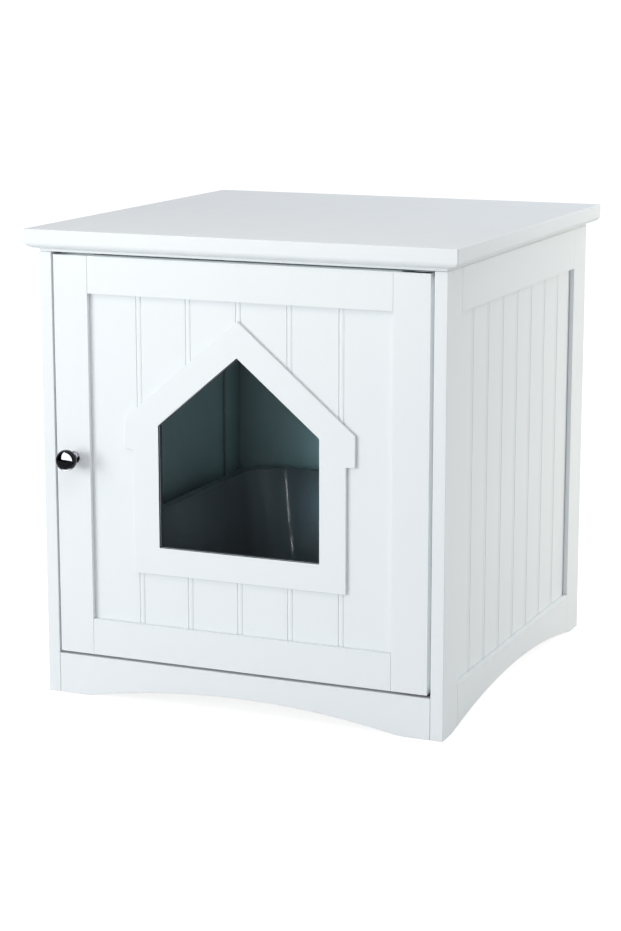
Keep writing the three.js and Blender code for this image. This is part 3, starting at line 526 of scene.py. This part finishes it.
def from_cad(node):
    """A copy of a CAD node's mesh, with its flat faces whole again instead of in triangles."""
    mesh = frame["nodes"][node].data.copy()
    mesh.materials.clear()
    work = bmesh.new()
    work.from_mesh(mesh)
    bmesh.ops.remove_doubles(work, verts=work.verts, dist=0.002 * MM)
    bmesh.ops.dissolve_limit(work, angle_limit=FLAT_ANGLE, verts=work.verts, edges=work.edges)
    work.to_mesh(mesh)
    work.free()
    return mesh


def is_inside(face):
    """Whether a face lies on the inside of the cabinet's walls, floor or top."""
    point = face.center
    return (
        LEFT_INNER - PANEL_ROOM < point.x < RIGHT_INNER + PANEL_ROOM
        and DOOR_BACK + INNER_ROOM < point.y < BACK_INNER + INNER_ROOM
        and FLOOR_TOP - INNER_ROOM < point.z < UNDER_TOP + INNER_ROOM
    )


def is_entrance_edge(face):
    """Whether a face lies on the cut edge round the entrance."""
    point = face.center
    roof = HOLE_RIDGE - ROOF_SLOPE * abs(point.x - HOLE_MIDDLE)
    return (
        abs(face.normal.y) < 0.5
        and HOLE_LEFT - EDGE_ROOM < point.x < HOLE_RIGHT + EDGE_ROOM
        and HOLE_SILL - EDGE_ROOM < point.z < roof + EDGE_ROOM
    )


def add_piece(node, mesh, finish, second=None, takes_second=is_inside):
    """The visible piece for a CAD node; some of its faces can take a second finish."""
    mesh.materials.clear()
    mesh.materials.append(finish.material)
    if second is not None:
        mesh.materials.append(second.material)
        for face in mesh.polygons:
            face.material_index = 1 if takes_second(face) else 0
    piece = bpy.data.objects.new(f"{node}_finished", mesh)
    bpy.context.scene.collection.objects.link(piece)
    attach(piece, BODY_OF[node])
    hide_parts(node)
    return piece


# Top board


def edge_profile(overhang):
    """The moulded edge from its underside up: distance out from the body's face, and height."""
    cove = arc(COVE_RADIUS, LIP_HEIGHT, COVE_RADIUS, COVE_RADIUS, 180, 90, 6)
    ovolo_z = LIP_HEIGHT + COVE_RADIUS + OVOLO_DROP
    ovolo = arc(COVE_RADIUS, ovolo_z, overhang - COVE_RADIUS, OVOLO_DROP, -90, 0, 16)
    top = ovolo_z + BAND_HEIGHT
    ease = arc(overhang - BAND_EASE, top - BAND_EASE, BAND_EASE, BAND_EASE, 0, 90, 6)
    return [(0.0, 0.0), *cove, *ovolo[1:], *ease]


def add_top_board():
    low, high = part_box("top_board")
    centre = (low + high) / 2
    side_overhang = high.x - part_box("right_front_stile")[1].x
    end_overhang = high.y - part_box("right_back_stile")[1].y
    body_x = (high.x - low.x) / 2 - side_overhang
    body_y = (high.y - low.y) / 2 - end_overhang
    across, along = edge_profile(side_overhang), edge_profile(end_overhang)
    inner_y = (BACK_INNER - DOOR_BACK) / 2
    lining_centre = Vector((0, (BACK_INNER + DOOR_BACK) / 2, 0))
    rings = [rounded_rectangle(lining_centre, RIGHT_INNER, inner_y, TOP_CORNER, low.z, 3)]
    for (out_x, z), (out_y, _) in zip(across, along):
        half_x, half_y = body_x + out_x, body_y + out_y
        rings.append(rounded_rectangle(centre, half_x, half_y, TOP_CORNER, low.z + z, 3))
    add_piece("top_board", shaded(skin("top_board_finished", rings)), PAINT, SHADED_LINING)


# Beaded panels


def bead_depths(middle):
    """Points across one bead with its two grooves: place along the panel, and depth under its face."""
    half_groove = BEAD_GROOVE_WIDTH / 2
    half_bead = BEAD_WIDTH / 2 - half_groove
    points = []
    for side in (-1, 1):
        groove = middle + side * BEAD_WIDTH / 2
        for i in range(-GROOVE_STEPS, GROOVE_STEPS + 1):
            step = i / GROOVE_STEPS
            dip = (1 + math.cos(math.pi * step)) / 2
            towards_bead = (1 - side * step) / 2
            depth = BEAD_GROOVE_DEPTH * dip + BEAD_CROWN * towards_bead * (1 - dip)
            points.append((groove + step * half_groove, depth))
        if side < 0:
            crown = [i / CROWN_STEPS for i in range(1 - CROWN_STEPS, CROWN_STEPS)]
            points += [(middle + t * half_bead, BEAD_CROWN * t * t) for t in crown]
    return points


def beaded_panel(name, width, visible, thickness, boards, bottom, top, place):
    """A panel whose section is drawn across it; place turns distance across, depth and height to a point."""
    face = [(-width / 2, 0.0)]
    for board in range(1, boards):
        face += bead_depths((board - boards / 2) * visible / boards)
    face.append((width / 2, 0.0))
    outline = [*face, (width / 2, thickness), (-width / 2, thickness)]
    rings = [[place(u, v, z) for u, v in outline] for z in (bottom, top)]
    return skin(name, rings)


def entrance_rings(front, back):
    """The entrance's outline at two depths."""
    outline = [
        (HOLE_LEFT, HOLE_SILL),
        (HOLE_RIGHT, HOLE_SILL),
        (HOLE_RIGHT, HOLE_EAVE),
        (HOLE_MIDDLE, HOLE_RIDGE),
        (HOLE_LEFT, HOLE_EAVE),
    ]
    return [[(x, y, z) for x, z in outline] for y in (front, back)]


def add_panels():
    for side, inwards in (("left", 1), ("right", -1)):
        low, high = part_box(f"{side}_panel")
        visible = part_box(f"{side}_back_stile")[0].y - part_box(f"{side}_front_stile")[1].y
        middle = (low.y + high.y) / 2
        outer = low.x if side == "left" else high.x

        def side_place(u, v, z):
            return outer + inwards * v, middle + u, z

        sizes = (high.y - low.y, visible, high.x - low.x, SIDE_BOARDS, low.z, high.z)
        mesh = beaded_panel(f"{side}_panel_finished", *sizes, side_place)
        add_piece(f"{side}_panel", shaded(mesh), PAINT, SHADED_LINING)

    low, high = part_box("door_panel")
    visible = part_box("door_hinge_stile")[0].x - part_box("door_knob_stile")[1].x
    centre_x = (low.x + high.x) / 2

    def door_place(u, v, z):
        return centre_x + u, low.y + v, z

    sizes = (high.x - low.x, visible, high.y - low.y, DOOR_BOARDS, low.z, high.z)
    mesh = beaded_panel("door_panel_finished", *sizes, door_place)
    mesh = cut(mesh, skin("entrance_tool", entrance_rings(low.y - CUT_MARGIN, high.y + CUT_MARGIN)))
    add_piece("door_panel", shaded(mesh), PAINT, HOLE_EDGE_SHADE, is_entrance_edge)


# Boards that keep the CAD's shape, with their edges eased


def add_board(node, second=None, takes_second=is_inside):
    add_piece(node, eased(from_cad(node), BOARD_EASE), PAINT, second, takes_second)


def add_boards():
    for side in ("left", "right"):
        add_board(f"{side}_front_stile")
        for member in ("back_stile", "top_rail", "bottom_rail"):
            add_board(f"{side}_{member}", SHADED_LINING)
    for node in ("door_knob_stile", "door_hinge_stile", "door_top_rail", "door_bottom_rail"):
        add_board(node)
    add_board("house_trim", HOLE_EDGE_SHADE, is_entrance_edge)
    add_board("front_skirt")
    add_board("floor_panel", SHADED_LINING)
    add_piece("back_panel", eased(from_cad("back_panel"), JOINT_EASE), BACK_BOARD, SHADED_LINING)
    for node in ("left_top_cleat", "right_top_cleat", "left_floor_cleat", "right_floor_cleat"):
        add_piece(node, eased(from_cad(node), JOINT_EASE), WOOD)


# Metal and small plastic pieces


def add_fittings():
    for node in (
        "lower_pivot_plate",
        "upper_pivot_plate",
        "lower_pivot_socket",
        "upper_pivot_socket",
        "strike_plate",
    ):
        add_piece(node, eased(from_cad(node), METAL_EASE, 2), STEEL)
    add_piece("catch_body", eased(from_cad("catch_body"), 2 * METAL_EASE), CATCH_PLASTIC)
    add_piece("catch_magnet", eased(from_cad("catch_magnet"), METAL_EASE), MAGNET)


def upright_rod(node, ease, sides, bore=0.0):
    """A turned pin or ring as high and as wide as the node, with eased rims."""
    low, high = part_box(node)
    centre = (low + high) / 2
    radius = (high.y - low.y) / 2
    half = (high.z - low.z) / 2
    rim = [(radius, ease - half), *arc(radius - ease, half - ease, ease, ease, 0, 90, 4)]
    foot = arc(radius - ease, ease - half, ease, ease, -90, 0, 4)
    if bore:
        loop = [(bore, -half), *foot, *rim[1:], (bore, half)]
        mesh = ring_of(f"{node}_finished", loop, sides)
    else:
        mesh = turned(f"{node}_finished", [(0, -half), *foot, *rim[1:], (0, half)], sides)
    mesh.transform(Matrix.Translation(centre))
    return shaded(mesh)


def ring_of(name, loop, sides):
    """A closed section of radius and height turned round Z."""
    points = []
    for i in range(sides):
        angle = math.tau * i / sides
        points += [(r * math.cos(angle), r * math.sin(angle), z) for r, z in loop]
    count = len(loop)
    faces = []
    for i in range(sides):
        here, there = i * count, ((i + 1) % sides) * count
        for a in range(count):
            b = (a + 1) % count
            faces.append((here + a, here + b, there + b, there + a))
    return mesh_from(name, points, faces)


def add_pins():
    for node in ("lower_pivot_pin", "upper_pivot_pin"):
        add_piece(node, upright_rod(node, PIN_EASE, PIN_SIDES), STEEL)
    low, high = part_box("lower_pivot_pin")
    bore = (high.y - low.y) / 2 + PIN_CLEARANCE
    add_piece("lower_pivot_washer", upright_rod("lower_pivot_washer", METAL_EASE, WASHER_SIDES, bore), NYLON)


# Screws and nails


def recess_tool(head):
    """A cross that narrows as it goes down, for a screw's head."""
    arm, half, depth = 0.62 * head, 0.13 * head, 0.75 * head
    quarter = [(arm, -half), (arm, half), (half, half)]
    cross = []
    for turn in range(4):
        angle = math.pi / 2 * turn
        cos, sin = round(math.cos(angle)), round(math.sin(angle))
        cross += [(x * cos - y * sin, x * sin + y * cos) for x, y in quarter]
    rings = []
    for z, size in ((-0.2 * head, 1.15), (depth, 0.35)):
        rings.append([(x * size, y * size, z) for x, y in cross])
    return skin("recess", rings)


def screw_mesh(name, head, shank, head_height, length):
    """A countersunk screw along Z, its flat face at 0 and its tip at the length, with a turned thread."""
    rings = [(0.999 * head - HEAD_RIM / 2, 0.0), (head, HEAD_RIM / 2), (head, HEAD_RIM), (shank, head_height)]
    step = THREAD_PITCH / THREAD_STEPS
    start, end = head_height + THREAD_PITCH / 2, length - shank
    levels = [(radius, z, 0.0) for radius, z in rings]
    count = int((end - start) / step)
    levels += [(shank, start + i * step, 1.0) for i in range(count)]
    levels += [(shank * (1 - t), end + shank * t, 1.0 - t) for t in (0.0, 0.35, 0.7, 0.92)]
    points = []
    for radius, z, threaded in levels:
        ring = []
        for i in range(SCREW_SIDES):
            phase = (z / THREAD_PITCH - i / SCREW_SIDES) % 1.0
            cut_in = THREAD_DEPTH * threaded * abs(2 * phase - 1)
            angle = math.tau * i / SCREW_SIDES
            ring.append(((radius - cut_in) * math.cos(angle), (radius - cut_in) * math.sin(angle), z))
        points.append(ring)
    return cut(skin(name, points), recess_tool(head))


def set_along(mesh, direction, head_place):
    """Turns a mesh made along Z to a direction and puts its head's middle at a place."""
    turn = Vector((0, 0, 1)).rotation_difference(direction).to_matrix().to_4x4()
    mesh.transform(Matrix.Translation(head_place) @ turn)
    return mesh


def head_facts(node, direction):
    """The middle of a fastener's flat head, the head's radius and the fastener's length, from its box."""
    low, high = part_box(node)
    centre, size = (low + high) / 2, high - low
    length = abs(size.dot(direction))
    across = max(abs(size[i]) for i in range(3) if abs(direction[i]) < 0.5)
    return centre - direction * length / 2, across / 2, length


def add_fasteners():
    for nodes, direction, shank, head_height in SCREWS:
        for node in nodes:
            place, head, length = head_facts(node, direction)
            mesh = screw_mesh(f"{node}_finished", head, shank, head_height, length)
            add_piece(node, shaded(set_along(mesh, direction, place)), STEEL)
    for node in NAILS:
        place, head, length = head_facts(node, FORWARD)
        grips = [NAIL_HEAD_HEIGHT + (0.5 + i) * NAIL_GRIP_PITCH for i in range(NAIL_GRIPS)]
        shank = [(NAIL_SHANK * (0.86 if i % 2 else 1.0), z) for i, z in enumerate(grips)]
        profile = [
            (0, 0),
            (head - HEAD_RIM / 2, 0),
            (head, HEAD_RIM / 2),
            (head, HEAD_RIM),
            (NAIL_SHANK, NAIL_HEAD_HEIGHT),
            *shank,
            (NAIL_SHANK, length - 2 * NAIL_SHANK),
            (0, length),
        ]
        mesh = set_along(turned(f"{node}_finished", profile, NAIL_SIDES), FORWARD, place)
        add_piece(node, shaded(mesh), STEEL)


# Knob


def knob_profile(reach):
    """From the flange's back to the ball's tip: radius, and distance from the door's face."""
    ball_z = reach - KNOB_BALL
    flange_top = KNOB_SEAT + KNOB_FLANGE_THICKNESS
    ease = KNOB_RIM_EASE
    rim = arc(KNOB_FLANGE - ease, KNOB_SEAT + ease, ease, ease, -90, 0, 4)
    rim += arc(KNOB_FLANGE - ease, flange_top - ease, ease, ease, 0, 90, 4)
    foot = arc(KNOB_NECK + KNOB_FILLET, flange_top + KNOB_FILLET, KNOB_FILLET, KNOB_FILLET, 270, 180, 8)
    neck_angle = -math.degrees(math.acos(KNOB_BALL_ROOT / KNOB_BALL))
    ball = arc(0, ball_z, KNOB_BALL, KNOB_BALL, neck_angle, 90, 40)
    return [(0, KNOB_SEAT), *rim, *foot, *ball[:-1], (0, reach)]


def add_knob():
    low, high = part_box("knob")
    axis_foot = Vector(((low.x + high.x) / 2, DOOR_FRONT, (low.z + high.z) / 2))
    mesh = turned("knob_finished", knob_profile(DOOR_FRONT - low.y), KNOB_SIDES)
    add_piece("knob", shaded(set_along(mesh, FORWARD, axis_foot)), CHROME)


# Litter tray


def round_corner(points, radius, steps=3):
    """A loop of points with each corner turned into a small arc; corners given as flagged points."""
    rounded = []
    for i, (x, y, hard) in enumerate(points):
        if not hard:
            rounded.append((x, y))
            continue
        here = Vector((x, y))
        before = Vector(points[i - 1][:2]) - here
        after = Vector(points[(i + 1) % len(points)][:2]) - here
        reach = min(radius, before.length * 0.45, after.length * 0.45)
        start, end = here + before.normalized() * reach, here + after.normalized() * reach
        for k in range(steps + 1):
            t = k / steps
            p = start * (1 - t) ** 2 + here * 2 * t * (1 - t) + end * t ** 2
            rounded.append((p.x, p.y))
    return rounded


def tray_section(height):
    """Half of the tray's wall and rim in section: inset from the rim's outer edge, and height."""
    wall_inset = TRAY_RIM - TRAY_WALL
    base = wall_inset + TRAY_DRAFT
    inner_base = base + TRAY_WALL
    flange_top = height - TRAY_RIM_STEP
    drop = height - TRAY_RIM_DROP
    ease = TRAY_BASE_EASE
    outer = [(x, z, False) for x, z in arc(base + ease, ease, ease, ease, -90, -180, 8)]
    inner = [(x, z, False) for x, z in arc(inner_base + ease, TRAY_WALL + ease, ease, ease, 180, 270, 8)]
    rim = [
        (wall_inset, height - TRAY_WALL),
        (TRAY_FLANGE + TRAY_WALL, height - TRAY_WALL),
        (TRAY_FLANGE + TRAY_WALL, flange_top - TRAY_WALL),
        (TRAY_WALL, flange_top - TRAY_WALL),
        (TRAY_WALL, drop),
        (0, drop),
        (0, flange_top),
        (TRAY_FLANGE, flange_top),
        (TRAY_FLANGE, height),
        (TRAY_RIM, height),
    ]
    section = [*outer, *[(x, z, True) for x, z in rim], *inner]
    return round_corner(section, TRAY_EDGE_EASE)


def add_tray():
    low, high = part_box("litter_tray")
    centre = (low + high) / 2
    half_x, half_y = (high.x - low.x) / 2, (high.y - low.y) / 2
    rings = []
    for inset, z in tray_section(high.z - low.z):
        towards_wall = min(inset / TRAY_RIM, 1.0)
        radius = TRAY_RIM_CORNER + (TRAY_WALL_CORNER - TRAY_RIM_CORNER) * towards_wall
        sizes = (half_x - inset, half_y - inset, radius)
        rings.append(rounded_rectangle(centre, *sizes, low.z + z, TRAY_CORNER_STEPS))
    mesh = cut(skin("litter_tray_finished", rings), entry_tool(low, high))
    add_piece("litter_tray", shaded(mesh), TRAY_PLASTIC)


def entry_tool(low, high):
    """What is cut from the tray's front wall, so that a cat steps in over a low edge."""
    middle = (low.x + high.x) / 2
    level = (high.x - low.x) / 2 - TRAY_ENTRY_INSET
    sill, top = high.z - TRAY_ENTRY_DIP, high.z + CUT_MARGIN
    opened = level + TRAY_ENTRY_SLOPE * (top - sill) / TRAY_ENTRY_DIP
    outline = [
        (middle - level, sill),
        (middle + level, sill),
        (middle + opened, top),
        (middle - opened, top),
    ]
    depths = (low.y - CUT_MARGIN, low.y + TRAY_RIM + TRAY_DRAFT)
    return skin("entry_tool", [[(x, y, z) for x, z in outline] for y in depths])


# Studio

# Floor: grey level for light that bounces, grey under the shadow, and the white that the camera sees
FLOOR_SIZE = 12
FLOOR_BOUNCE = 0.665
FLOOR_SHADOWED = 0.40
FLOOR_WHITE = 0.85

WORLD_LIGHT = 0.57
WORLD_COLOR = (0.96, 0.99, 1.04, 1)
MIRRORED_DARK = 0.04  # reflected level on the camera's side, which rises to white between these ways
MIRRORED_FROM, MIRRORED_TO = -0.1, 0.5

# Lamps on the whole object: name, place, target, size, power and colour
ROOM_LAMPS = (
    ("key", (-1.5, -2.2, 0.6), (0, 0, 0.25), (1.4, 1.1), 32.3, (0.96, 0.985, 0.985)),
    ("near_left", (-0.7, -0.6, 0.6), (-0.15, -0.2, 0.35), (0.3, 0.4), 0.4, (1.0, 0.95, 0.85)),
    ("near_top", (0.05, -0.7, 0.95), (-0.05, -0.2, 0.3), (0.5, 0.3), 1.0, (1.0, 0.95, 0.8)),
    ("top_fill", (0.5, 1.1, 1.5), (0.1, 0.2, 0.5), (0.8, 0.8), 4.2, (0.94, 0.965, 1.0)),
    ("side_fill", (1.3, 1.15, 1.0), (0.23, 0.15, 0.3), (0.7, 0.7), 8.6, (0.88, 0.93, 0.96)),
    ("side_low", (0.95, 0.75, 0.35), (0.23, 0.2, 0.3), (0.4, 0.5), 1.9, (1.0, 0.86, 0.55)),
)

# Lamps in the gaps round the door
GAP_LAMP_ROOM = 2.5 * MM
HINGE_GAP_SIZE, HINGE_GAP_POWER = (0.43, 0.012), 0.0046
TOP_GAP_SIZE, TOP_GAP_POWER = (0.40, 0.012), 0.0042
GAP_COLOR = (0.93, 0.96, 0.98)

# Lamps on one piece each, for the cool light that falls into the cabinet: node, then as above
BLUISH, BLUER, PALE_CYAN = (0.6, 0.94, 1.0), (0.5, 0.9, 1.0), (0.85, 1.0, 1.0)
PIECE_LAMPS = (
    ("back_panel", "back_pool", (-0.056, 0.184, 0.188), (-0.056, 0.25, 0.188), (0.02, 0.02), 0.015, BLUISH),
    ("litter_tray", "tray_pool", (-0.05, 0.15, 0.14), (-0.05, 0.25, 0.14), (0.03, 0.03), 0.024, BLUER),
    ("litter_tray", "tray_fill", (0, -0.19, 0.42), (-0.1, 0.2, 0.1), (0.15, 0.1), 0.025, PALE_CYAN),
)

# Lamps that show only as a reflection in one piece, the last value being the lamp's roll in degrees:
# a window on the knob and light from under it, and a streak and a glint on the tray's far corner
ALL_WHITE = (1, 1, 1)
REFLECTIONS = (
    ("knob", "window", (0.614, 0.145, 1.206), (0.245, 0.76, 0.509), (3.25, 2.42), 1300, -12.7),
    ("litter_tray", "strip", (-0.082, -0.085, 0.165), (-0.13, 0.21, 0.16), (0.0007, 0.06), 0.019, 0),
    ("litter_tray", "glint", (-0.095, -0.085, 0.104), (-0.13, 0.21, 0.1), (0.003, 0.003), 0.008, 0),
    ("knob", "knob_under", (-0.196, -0.2415, 0.237), (-0.196, -0.2415, 0.25), (0.026, 0.02), 0.012, 0),
)


def grey(level):
    return (level, level, level, 1.0)


def add_floor():
    """Paper that looks white to the camera, keeps the shadow and bounces plain light on the object."""
    bpy.ops.mesh.primitive_plane_add(size=FLOOR_SIZE)
    floor = bpy.context.object
    floor.name = "studio_floor"
    made = bpy.data.materials.new("studio_floor")
    made.use_nodes = True
    tree = made.node_tree
    tree.nodes.clear()
    rays = add_node(tree, "LightPath").outputs
    paper = add_node(tree, "BsdfDiffuse", {"Color": grey(FLOOR_BOUNCE)})
    pale = add_node(tree, "BsdfDiffuse", {"Color": grey(FLOOR_SHADOWED)})
    glow = add_node(tree, "Emission", {"Strength": FLOOR_WHITE})
    both = add_node(tree, "AddShader", {0: pale.outputs[0], 1: glow.outputs[0]})
    ways = {"Fac": rays["Is Camera Ray"], 1: paper.outputs[0], 2: both.outputs[0]}
    add_node(tree, "OutputMaterial", {"Surface": add_node(tree, "MixShader", ways).outputs[0]})
    floor.data.materials.append(made)


def set_world():
    """White to the camera, a plain level of light on the object, and for reflections a studio that is
    white behind the object and dark on the camera's side."""
    world = bpy.data.worlds.new("studio")
    bpy.context.scene.world = world
    world.use_nodes = True
    tree = world.node_tree
    tree.nodes.clear()
    rays = add_node(tree, "LightPath").outputs
    way = add_node(tree, "SeparateXYZ", {0: add_node(tree, "TexCoord").outputs["Generated"]})
    stretch = {"From Min": MIRRORED_FROM, "From Max": MIRRORED_TO, "To Min": MIRRORED_DARK, "To Max": 1.0}
    mirrored_level = add_node(tree, "MapRange", {"Value": way.outputs["Y"], **stretch}).outputs["Result"]
    plain = add_node(tree, "Background", {"Color": WORLD_COLOR, "Strength": WORLD_LIGHT})
    mirrored = add_node(tree, "Background", {"Strength": mirrored_level})
    white = add_node(tree, "Background", {"Color": grey(1.0), "Strength": 1.0})
    lit = {"Fac": rays["Is Glossy Ray"], 1: plain.outputs[0], 2: mirrored.outputs[0]}
    glossy = add_node(tree, "MixShader", lit)
    straight = {0: rays["Is Camera Ray"], 1: rays["Is Transmission Ray"]}
    shown = add_node(tree, "Math", straight, operation="MAXIMUM")
    final = {"Fac": shown.outputs[0], 1: glossy.outputs[0], 2: white.outputs[0]}
    add_node(tree, "OutputWorld", {"Surface": add_node(tree, "MixShader", final).outputs[0]})


def add_softbox(name, place, target, size, power, color, roll=0.0, reflected=False):
    """An area lamp, seen only as light on the pieces or, if reflected, only in their reflections."""
    data = bpy.data.lights.new(name, "AREA")
    data.shape = "RECTANGLE"
    data.size, data.size_y = size
    data.energy = power
    data.color = color
    lamp = bpy.data.objects.new(name, data)
    bpy.context.scene.collection.objects.link(lamp)
    lamp.location = place
    aim = Vector(target) - Vector(place)
    turn = aim.to_track_quat("-Z", "Y") @ Quaternion((0, 0, 1), math.radians(roll))
    lamp.rotation_euler = turn.to_euler()
    lamp.visible_camera = False
    lamp.visible_glossy = reflected
    lamp.visible_diffuse = not reflected
    lamp.visible_transmission = False
    return lamp


def only_for(lamp, *nodes):
    """Lets a lamp shine on some pieces alone."""
    receivers = bpy.data.collections.new(f"{lamp.name}_receivers")
    for node in nodes:
        receivers.objects.link(bpy.data.objects[f"{node}_finished"])
    lamp.light_linking.receiver_collection = receivers


def add_gap_lamps():
    """Light that falls into the open gaps beside the door and over it, on the door's edges."""
    low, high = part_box("door_hinge_stile")
    middle = (low + high) / 2
    beside, above = high.x + GAP_LAMP_ROOM, high.z + GAP_LAMP_ROOM
    place, target = (beside, middle.y, middle.z), (low.x, middle.y, middle.z)
    hinge_gap = add_softbox("hinge_gap", place, target, HINGE_GAP_SIZE, HINGE_GAP_POWER, GAP_COLOR, 90)
    only_for(hinge_gap, "door_hinge_stile")
    place, target = (0, middle.y, above), (0, middle.y, low.z)
    top_gap = add_softbox("top_gap", place, target, TOP_GAP_SIZE, TOP_GAP_POWER, GAP_COLOR)
    only_for(top_gap, "door_top_rail", "door_knob_stile", "door_hinge_stile")


def light_studio():
    for name, *lamp in ROOM_LAMPS:
        add_softbox(name, *lamp)
    add_gap_lamps()
    for node, name, *lamp in PIECE_LAMPS:
        only_for(add_softbox(name, *lamp), node)
    for node, name, *lamp, roll in REFLECTIONS:
        only_for(add_softbox(name, *lamp, ALL_WHITE, roll, reflected=True), node)


def add_camera():
    data = bpy.data.cameras.new("camera")
    data.sensor_fit = "VERTICAL"
    data.sensor_height = SENSOR
    data.lens = FOCAL_PIXELS * SENSOR / IMAGE_HEIGHT
    data.clip_end = CAMERA_REACH
    camera = bpy.data.objects.new("camera", data)
    bpy.context.scene.collection.objects.link(camera)
    camera.location = CAMERA_PLACE
    turns = (90 - CAMERA_PITCH, CAMERA_ROLL, CAMERA_YAW)
    camera.rotation_euler = [math.radians(t) for t in turns]
    bpy.context.scene.camera = camera


add_camera()
add_top_board()
add_boards()
add_panels()
add_fittings()
add_pins()
add_fasteners()
add_knob()
add_tray()
add_floor()
set_world()
light_studio()
bpy.context.scene.view_settings.view_transform = "Standard"
